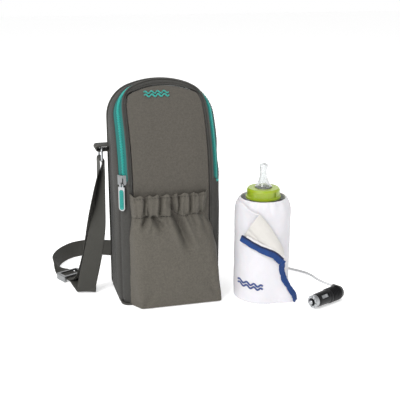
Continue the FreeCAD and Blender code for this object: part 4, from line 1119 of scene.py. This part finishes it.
# Middle of the strap and the direction of its width, from the right ring round behind the bag.
RIGHT_STRAP = [
    ((67.8, 30, 158), (0, 1, 0)), ((67.8, 30, 169), (0, 1, 0)), *over_ring(RIGHT_RING, 1),
    ((74.2, 30, 168), (0, 1, 0)), ((74.0, 31, 156), (0, 1, 0)), ((73.8, 38, 120), (0, 1, 0.15)),
    ((71, 56, 78), (0, 0.9, 0.4)), ((63, 79, 42), (0, 0.8, 0.6)), ((47, 99, 21), (0.1, 0.5, 0.85)),
    ((25, 112, 12.8), (0, 0.1, 1)), ((-5, 123, 12.45), (0, 0, 1)), ((-35, 137, 12.45), (0, 0, 1))]
LEFT_STRAP = [
    ((-35, 137, 12.45), (0, 0, 1)), ((-62, 151, 12.45), (0, 0, 1)), ((-86, 157, 12.45), (0, 0, 1)),
    ((-109, 150, 12.45), (0, 0, 1)), ((-127, 130, 12.4), (-0.1, 0, 1)),
    ((-135.5, 108, 11.6), (-0.35, -0.1, 0.93)),
    ((-132, 97, 8.2), (-0.75, -0.25, 0.6)), (along_adjuster(-17, THROUGH_Z), FLAT),
    (along_adjuster(0, THROUGH_Z), FLAT), (along_adjuster(17, THROUGH_Z), FLAT),
    ((-108.5, 42, 2.2), (-0.95, -0.25, 0)), ((-105.5, 24, 1.6), (-0.97, 0.15, 0)),
    ((-104.6, 15, 2.0), (-0.966, 0.26, 0)), ((-104.2, 11.4, 5.4), (-0.966, 0.26, 0)),
    ((-103.2, 11.2, 16), (-0.966, 0.26, 0)), ((-96, 12, 45), (-0.93, 0.36, 0)),
    ((-87.5, 14, 85), (-0.8, 0.6, 0)),
    ((-81.5, 19, 122), (-0.42, 0.9, 0)), ((-78.4, 24, 152), (-0.26, 0.97, 0)), ((-75.0, 26, 168), (0, 1, 0)),
    *over_ring(LEFT_RING, -1), ((-81.4, 26, 168), (0, 1, 0)), ((-85.5, 26, 142), (0.3, 0.95, 0)),
    ((-91, 28, 100), (0.62, 0.78, 0)), ((-96, 36, 55), (0.76, 0.65, 0)),
    ((-102.5, 47.5, 20), (0.83, 0.55, 0)),
    ((-107, 51.5, 8.8), (0.89, 0.45, 0)), (along_adjuster(15.5, TAIL_Z + 0.3), FLAT * -1),
    (along_adjuster(9, TAIL_Z), FLAT * -1), (along_adjuster(-5, TAIL_Z), FLAT * -1)]


def make_strap():
    """The strap's two runs, each passing over its ring at the upper end."""
    for name, stations, ring, at in (("strap_right", RIGHT_STRAP, "right_ring", RIGHT_RING),
                                     ("strap_left", LEFT_STRAP, "left_ring", LEFT_RING)):
        path, widths = run_through(stations, 5)
        strap = band(name, path, widths, STRAP_WIDTH, STRAP_THICK, WEBBING, columns=8, crown=0.25)
        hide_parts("strap")
        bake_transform(strap)


def make_tabs():
    """Webbing loops sewn to the bag's sides, which hold the rings."""
    for name, node, at in (("tab_left", "side_tab_left", LEFT_RING),
                           ("tab_right", "side_tab_right", RIGHT_RING)):
        low, high = corners(node)
        side = -1 if at[0] < 0 else 1
        tip = low.x if side < 0 else high.x
        r = 3.1
        root = side * (HALF_WIDTH + 0.2)
        centre = tip - side * 3.8
        path = [Vector((root + (centre - root) * k / 6, at[1], RING_TOP_Z - r)) for k in range(6)]
        path += [Vector((centre + side * r * math.sin(a), at[1], RING_TOP_Z - r * math.cos(a)))
                 for a in (math.pi * k / 8 for k in range(9))]
        path += [Vector((centre + (root - centre) * k / 6, at[1], RING_TOP_Z + r)) for k in range(1, 7)]
        tab = band(name, path, [Y] * len(path), 24.0, 1.4, WEBBING, columns=6)
        fix(tab, "webbing", "bag", node)
        row_path = [Vector((root + side * 1.6, at[1] - 10 + 20 * k / 8, RING_TOP_Z + r + 0.8))
                    for k in range(9)]
        row = stitches(name + "_stitching", row_path, [Z] * 9, THREAD, lift=0.1)
        fix(row, "webbing", "bag")


# ---- sleeve --------------------------------------------------------------------------
SLEEVE_AT = Vector((118.6, -47.9, 0))
SLEEVE_TURN = math.radians(-15.07)
SLEEVE_R = 35.6
FLAP_R = 36.9
# The flap's free edge and fold, then the edge of the corner that is turned back, in x and z from its front.
FREE_EDGE = [(31.0, 1.4), (30.2, 9.0), (28.0, 19.4), (25.6, 29.0), (24.2, 37.0), (22.9, 46.0), (22.4, 54.0)]
FOLD_LINE = [(22.4, 54.0), (23.4, 64.0), (21.4, 74.0), (16.9, 84.5), (11.0, 95.5), (4.5, 107.0),
             (-7.5, 122.0)]
TURNED_EDGE = [(22.4, 54.0), (17.0, 61.0), (8.5, 69.5), (-8.3, 77.7), (-25.5, 88.5)]
FLAP_LEFT = -108
FLAP_BENDS = (-106, -72)  # degrees from the sleeve's front; two points are taken at these angles, but the fleece is not bent there


def local(x, y, z):
    return SLEEVE_AT + Matrix.Rotation(SLEEVE_TURN, 3, "Z") @ Vector((x, y, z))


def round_at(angle, r, z):
    """Point of the sleeve: angle from its front, towards its right."""
    return local(r * math.sin(angle), -r * math.cos(angle), z)


def angle_of(x, r=FLAP_R):
    return math.asin(max(-1.0, min(1.0, x / r)))


def trace(points, t):
    """Point at share t along a smooth (x, z) line."""
    place = t * (len(points) - 1)
    k = min(int(place), len(points) - 2)
    four = [Vector(points[min(max(k + j, 0), len(points) - 1)]) for j in (-1, 0, 1, 2)]
    return smooth(*four, place - k)


def fleece_dent(angle, z):
    p = (36 * math.sin(angle), 36 * math.cos(angle), z)
    return 1.2 * rough(p, 34, 11.0) + 0.6 * rough(p, 14, 4.0)


def make_sleeve_cover():
    """Fleece tube with its back seam, and the cloth inside it."""
    profile = [(32.6, 0.5), (34.4, 0.6), (35.3, 1.8), (35.6, 4)]
    profile += [(35.6, 4 + (108 - 4) * k / 26) for k in range(1, 27)]
    profile += [(35.55, 113), (35.2, 118), (34.5, 123), (33.3, 127.5), (31.8, 131.2), (30.4, 133.4),
                (29.4, 134.2),
                (28.6, 133.6), (28.3, 131), (28.2, 126)]
    rows = []
    around = 96
    for r, z in profile:
        row = []
        for j in range(around + 1):
            a = 2 * math.pi * (j % around) / around - math.pi
            pucker = 0.5 * math.sin(17 * a + 1.3 * math.sin(3 * a))
            pucker = pucker * ease((z - 112) / 14) * ease((r - 28) / 2.5)
            tuck = -1.6 * bell(a - 0.12, 0.16) * bell(z - 126, 8)
            tuck -= 3.0 * bell(a - 0.4, 0.3) * bell(z - 112, 10)
            slack = fleece_dent(a, z) * ease((z - 3) / 14) * (1 - ease((z - 124) / 7))
            row.append(round_at(a, r + pucker + tuck + slack, z))
        rows.append(row)
    cover = cloth("sleeve_fleece", rows, FLEECE, 1.2)
    fix(cover, "sleeve_fleece", "warmer", "sleeve_cover", "sleeve_foam")
    seam = [round_at(math.pi - 0.35, SLEEVE_R + 0.2 + fleece_dent(math.pi - 0.35, z) * 0.9, z)
            for z in range(4, 112, 3)]
    back_seam = tube("sleeve_back_seam", seam, 0.75, FLEECE, sides=8)
    fix(back_seam, "sleeve_fleece", "warmer")

    rows = []
    for z in [2.6, 4] + list(range(8, 132, 4)):
        r = 28.1 if z > 5 else 27.0 if z > 3 else 22.0
        rows.append([round_at(2 * math.pi * (j % 64) / 64, r + 0.25 * rough((j % 64, z, 0), 6), z)
                     for j in range(65)])
    inside = cloth("sleeve_inside_cloth", rows, FLEECE, 0.5, offset=0)
    fix(inside, "sleeve_lining", "warmer", "sleeve_lining")


# Outer radius of the sleeve's shoulder, by height.
COVER_R = [(109.0, 35.6), (118.0, 35.2), (123.0, 34.5), (127.5, 33.3), (131.2, 31.8), (133.4, 30.4)]


def cover_loss(z):
    """How far the sleeve's shoulder has drawn in at a height."""
    return SLEEVE_R - knots(z, COVER_R)


def flap_edge(z):
    """Angle of the flap's right edge at a height."""
    lows = [(p[1], p[0]) for p in FREE_EDGE[:-1] + FOLD_LINE]
    for (za, xa), (zb, xb) in zip(lows, lows[1:]):
        if z <= zb:
            return angle_of(xa + (xb - xa) * (z - za) / (zb - za))
    return angle_of(lows[-1][1])


def flap_out(angle, z):
    """How far the flap stands off, most at the lower free corner."""
    edge = flap_edge(z)
    near = ease((angle - edge + 0.75) / 0.75)
    kick = 13.5 * (1 - ease(z / 46)) * near ** 2
    swell = 1.1 * near * ease((z - 20) / 30) + 0.35 * math.sin(z / 7.5) * near * (1 - ease((z - 50) / 10))
    return kick + swell


def flap_point(angle, z, r=FLAP_R):
    return round_at(angle, r + flap_out(angle, z) + 0.8 * fleece_dent(angle, z), z)


def make_flap():
    """The overlap with its corner turned back, its binding and seam allowance, and the patches."""
    left = math.radians(FLAP_LEFT)
    rows = []
    heights = [0.5, 3] + [6 + 116 * k / 40 for k in range(41)]
    for base in heights:
        right = flap_edge(base)
        row = []
        for j in range(41):
            a = left + (right - left) * j / 40
            z = base + 10 * ease((right - a) / 0.8) * ease((base - 88) / 34)
            blend_in = 1 - ease((a - left) / 0.45)
            lip = 2.2 * ease((base - 110) / 12) * ease((a - left - 0.3) / 0.7)
            r = FLAP_R + flap_out(a, base) + 0.8 * fleece_dent(a, z) - 1.5 * blend_in - cover_loss(z) + lip
            row.append(round_at(a, r, z))
        rows.append(row)
    flap = cloth("flap_fleece", rows, FLEECE, 1.3)
    flap.data.materials.append(SLEEVE_INSIDE)
    flap.modifiers["thickness"].material_offset = 1
    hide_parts("flap_cover", "flap_lining")
    back, front = (round_at(math.radians(turn), FLAP_R, 60) * MM for turn in FLAP_BENDS)
    tuple(back)
    tuple(front)
    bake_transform(flap)

    rows = []
    for i in range(37):
        t = i / 36
        fold, turned = trace(FOLD_LINE, t), trace(TURNED_EDGE, t)
        spread = (fold - turned).length
        row = []
        for j in range(25):
            u = j / 24
            spot = fold.lerp(turned, u)
            bow = math.sin(math.pi * min(u * 1.25, 1)) * min(spread / 30, 1)
            r = FLAP_R + 0.2 + 2.0 * ease(u / 0.1) + 4.6 * bow * ease(t / 0.3)
            r += 0.5 * fleece_dent(spot.x / 30, spot.y)
            r -= 2.0 * bell(u - 0.62 - 0.1 * math.sin(3 * t), 0.07) * ease(t / 0.4)
            shift = 0.9 * math.sin(math.pi * min(u / 0.1, 1))
            row.append(round_at(angle_of(spot.x + shift, FLAP_R),
                                r + flap_out(angle_of(spot.x), spot.y) * 0.8, spot.y))
        rows.append(row)
    turned_cloth = cloth("flap_corner_cloth", rows, FLEECE, 1.2)
    turned_cloth.data.materials.append(SLEEVE_INSIDE)
    turned_cloth.modifiers["thickness"].material_offset = 1
    fix(turned_cloth, "sleeve_lining", "flap", "flap_corner")

    path, sides, allowance, allowance_sides = [], [], [], []
    for k in range(61):
        t = 1 - k / 60
        p, q = trace(TURNED_EDGE, t), trace(TURNED_EDGE, max(t - 0.02, 0.0))
        along = (p - q).normalized() if (p - q).length > 1e-6 else Vector((1, 0))
        r = FLAP_R + 4.1 + 1.6 * ease((t - 0.8) / 0.2) + 0.35 * math.sin(k * 0.8)
        r += flap_out(angle_of(p.x), p.y) * 0.8
        a = angle_of(p.x, FLAP_R)
        path.append(round_at(a, r, p.y))
        across_2d = Vector((-along.y, along.x))
        tangent = Matrix.Rotation(SLEEVE_TURN, 3, "Z") @ Vector((math.cos(a), math.sin(a), 0))
        side = tangent * across_2d.x + Z * across_2d.y
        sides.append(side)
        if 4 <= k <= 54:
            allowance.append(path[-1] - side * 6.6 + (path[-1] - local(0, 0, p.y)).normalized() * 0.3)
            allowance_sides.append(side)
    for k in range(1, 61):
        t = k / 60
        p, q = trace(FREE_EDGE, 1 - t), trace(FREE_EDGE, min(1 - t + 0.02, 1.0))
        a = angle_of(p.x)
        wobble = 0.8 * math.sin(k * 0.42) + 0.4 * math.sin(k * 1.1)
        path.append(round_at(a + wobble * 0.012, FLAP_R + 0.2 + flap_out(a, p.y), p.y))
        tangent = Matrix.Rotation(SLEEVE_TURN, 3, "Z") @ Vector((math.cos(a), math.sin(a), 0))
        sides.append(tangent * 1.0 + Z * 0.15)
    for k in range(len(sides)):
        if k > 0 and sides[k].dot(sides[k - 1]) < 0:
            sides[k] = -sides[k]

    def uneven(t):
        return 8.8 + 0.7 * math.sin(t * 37) + 0.4 * math.sin(t * 83)

    binding = band("flap_edge_binding", path, sides, uneven, 2.4, BLUE_TAPE, columns=6, crown=0.5)
    fix(binding, "binding_blue", "flap", "flap_binding")
    # A dark navy band along the inner side of the binding's first part: painted shadow cast by the binding
    # onto the turned corner.
    inner = [p - side * 3.9 + (p - local(0, 0, p.z)).normalized() * 0.7 for p, side in zip(path[:50], sides)]
    shade = band("flap_binding_painted_shadow", inner, sides[:50], 2.6, 1.6, BINDING_SHADOW_NAVY, columns=4, crown=0.3)
    fix(shade, "binding_blue", "flap")
    strip = band("flap_seam_allowance", allowance, allowance_sides, 3.6, 0.7, ALLOWANCE, columns=4,
                 crown=0.2)
    fix(strip, "sleeve_lining", "flap")

    for name, node, r, x_from, x_to, body in (("hook_patch", "hook_tape", SLEEVE_R + 0.15, 2, 22, "warmer"),
                                              ("loop_patch", "loop_tape", FLAP_R - 0.9, 2, 17, "flap")):
        rows = [[round_at(angle_of(x_from + (x_to - x_from) * j / 10, r),
                          r + 0.25 * rough((j * 9, z * 9, 0), 5), z) for j in range(11)]
                for z in range(13, 46, 2)]
        patch = cloth(name, rows, WHITE_TAPE, 0.5, offset=0)
        fix(patch, "sleeve_tape", body, node)


# ---- sewn marks ----------------------------------------------------------------------
LID_MARK = (-9.1, 261.7)
SLEEVE_MARK = (-16.5, 24.5)


def wave_line(count, turns, width, height):
    return [(width * (k / count - 0.5), height / 2 * math.sin(2 * math.pi * turns * k / count))
            for k in range(count + 1)]


def make_marks():
    """Plain wave lines in thread, one pair on the lid and one on the sleeve."""
    for row, shift in (("upper", 1.7), ("lower", -1.7)):
        path, sides = [], []
        for x, dz in wave_line(60, 4, 32, 2.6):
            z = LID_MARK[1] + dz + shift
            y = front_y(z)
            normal = front_normal(y, z)
            path.append(Vector((LID_MARK[0] + x, y, z)) + normal * 3.4)
            sides.append(Z)
        mark = band("lid_mark_" + row, path, sides, 2.0, 0.7, TEAL_THREAD, columns=3, crown=0.2)
        fix(mark, "zip_teal", "lid")
        path, sides = [], []
        for x, dz in wave_line(60, 3.5, 31, 3.2):
            z = SLEEVE_MARK[1] + dz + shift * 1.3 - x * 0.12
            a = angle_of(SLEEVE_MARK[0] + x)
            path.append(flap_point(a, z, FLAP_R + 0.25))
            sides.append(Z)
        mark = band("sleeve_mark_" + row, path, sides, 2.6, 0.7, BLUE_THREAD, columns=3, crown=0.2)
        fix(mark, "binding_blue", "flap")


# ---- lead ----------------------------------------------------------------------------
CORD_R = 1.6
GLAND_Z = 14.0
GLAND_TIP = SLEEVE_R + 16.0
LEAD_OUT = [local(0, GLAND_TIP, GLAND_Z), local(-0.5, GLAND_TIP + 9, GLAND_Z - 0.8),
            local(-3.0, GLAND_TIP + 18, 9.6),
            local(-7.5, GLAND_TIP + 27, 3.8), local(-12.5, GLAND_TIP + 37, 1.7),
            local(-15.5, GLAND_TIP + 48, 1.6)]
LEAD_BACK = [(176.8, 52.0, 4.4), (177.6, 41.0, 3.0), (180.6, 30.5, 1.8), (187.0, 21.5, 1.6),
             (195.2, 12.5, 1.6),
             (203.0, 1.5, 1.6), (207.3, -11.5, 1.6), (208.2, -25.0, 1.6), (212.0, -37.5, 1.7),
             (216.0, -49.0, 2.4),
             (215.6, -59.5, 5.0), (213.6, -68.0, 8.4)]
COIL_AT = (153.8, 50.9)
COIL_TURNS = 7.5
COIL_RADII = (23.4, 13.4)
PER_TURN = 16


def coil_points():
    """Turns of the put-away length, one flat layer on another, seen from above clockwise."""
    total = int(COIL_TURNS * PER_TURN)
    half = total / 2
    made = []
    for k in range(1, total):
        layer = k / half if k < half else 2 - k / half
        r = COIL_RADII[0] + (COIL_RADII[1] - COIL_RADII[0]) * layer
        a = math.pi - 2 * math.pi * k / PER_TURN
        z = CORD_R + 2 * CORD_R * ease((k - half + PER_TURN * 0.3) / (PER_TURN * 0.6))
        made.append(Vector((COIL_AT[0] + r * math.cos(a), COIL_AT[1] + r * math.sin(a), z)))
    return made


def taper(name, base, tip, r_base, r_tip, ribs, look):
    """Ribbed, tapered strain relief between two points."""
    axis = (tip - base).normalized()
    side = axis.cross(Z).normalized()
    up = side.cross(axis)
    length = (tip - base).length
    rings = []
    steps = ribs * 4
    for k in range(steps + 1):
        t = k / steps
        wave_r = 0.35 * math.cos(2 * math.pi * ribs * t) if 0.06 < t < 0.97 else 0
        rings.append((t * length, r_base + (r_tip - r_base) * t + wave_r))
    rings = [(0, CORD_R * 0.9)] + rings + [(length, CORD_R * 1.02)]
    rows = [[base + axis * x + (side * math.cos(a) + up * math.sin(a)) * r
             for a in (2 * math.pi * (j % 24) / 24 for j in range(25))] for x, r in rings]
    return cloth(name, rows, look, 0, levels=0)


def make_lead():
    """The lead on one curve, from its strain relief at the sleeve to the one at the plug."""
    relief = taper("strain_relief", local(0, SLEEVE_R - 1.0, GLAND_Z), local(0, GLAND_TIP, GLAND_Z), 4.0,
                   2.4, 5, CORD_SKIN)
    fix(relief, "cord_grey", "warmer", "cable_gland")
    boot_tip = Vector(LEAD_BACK[-1])
    boot_base = (corners("plug_boot")[0] + corners("plug_boot")[1]) - boot_tip
    boot = taper("plug_strain_relief", boot_base, boot_tip, 3.9, 2.6, 4, BLACK)
    fix(boot, "boot_black", "warmer", "plug_boot")
    curve = bpy.data.curves.new("lead", "CURVE")
    curve.dimensions = "3D"
    curve.bevel_depth = CORD_R * MM
    curve.bevel_resolution = 3
    curve.use_fill_caps = True
    curve.resolution_u = 8
    route = LEAD_OUT + coil_points() + [Vector(p) for p in LEAD_BACK]
    spline = curve.splines.new("NURBS")
    spline.points.add(len(route) - 1)
    for point, p in zip(spline.points, route):
        point.co = (*(p * MM), 1)
    spline.order_u = 3
    spline.use_endpoint_u = True
    lead = link("lead", curve, CORD_SKIN)
    fix(lead, "cord_grey", "warmer", "cord_to_coil", "cord_coil", "cord_to_plug")


make_camera()
make_studio()
paint_cad()
make_lead()
make_front_panel()
make_border()
make_piping()
make_gusset()
make_back()
make_base_tape()
make_zip()
make_pull_ribs()
make_lining()
make_pocket()
make_strap()
make_tabs()
make_sleeve_cover()
make_flap()
make_marks()
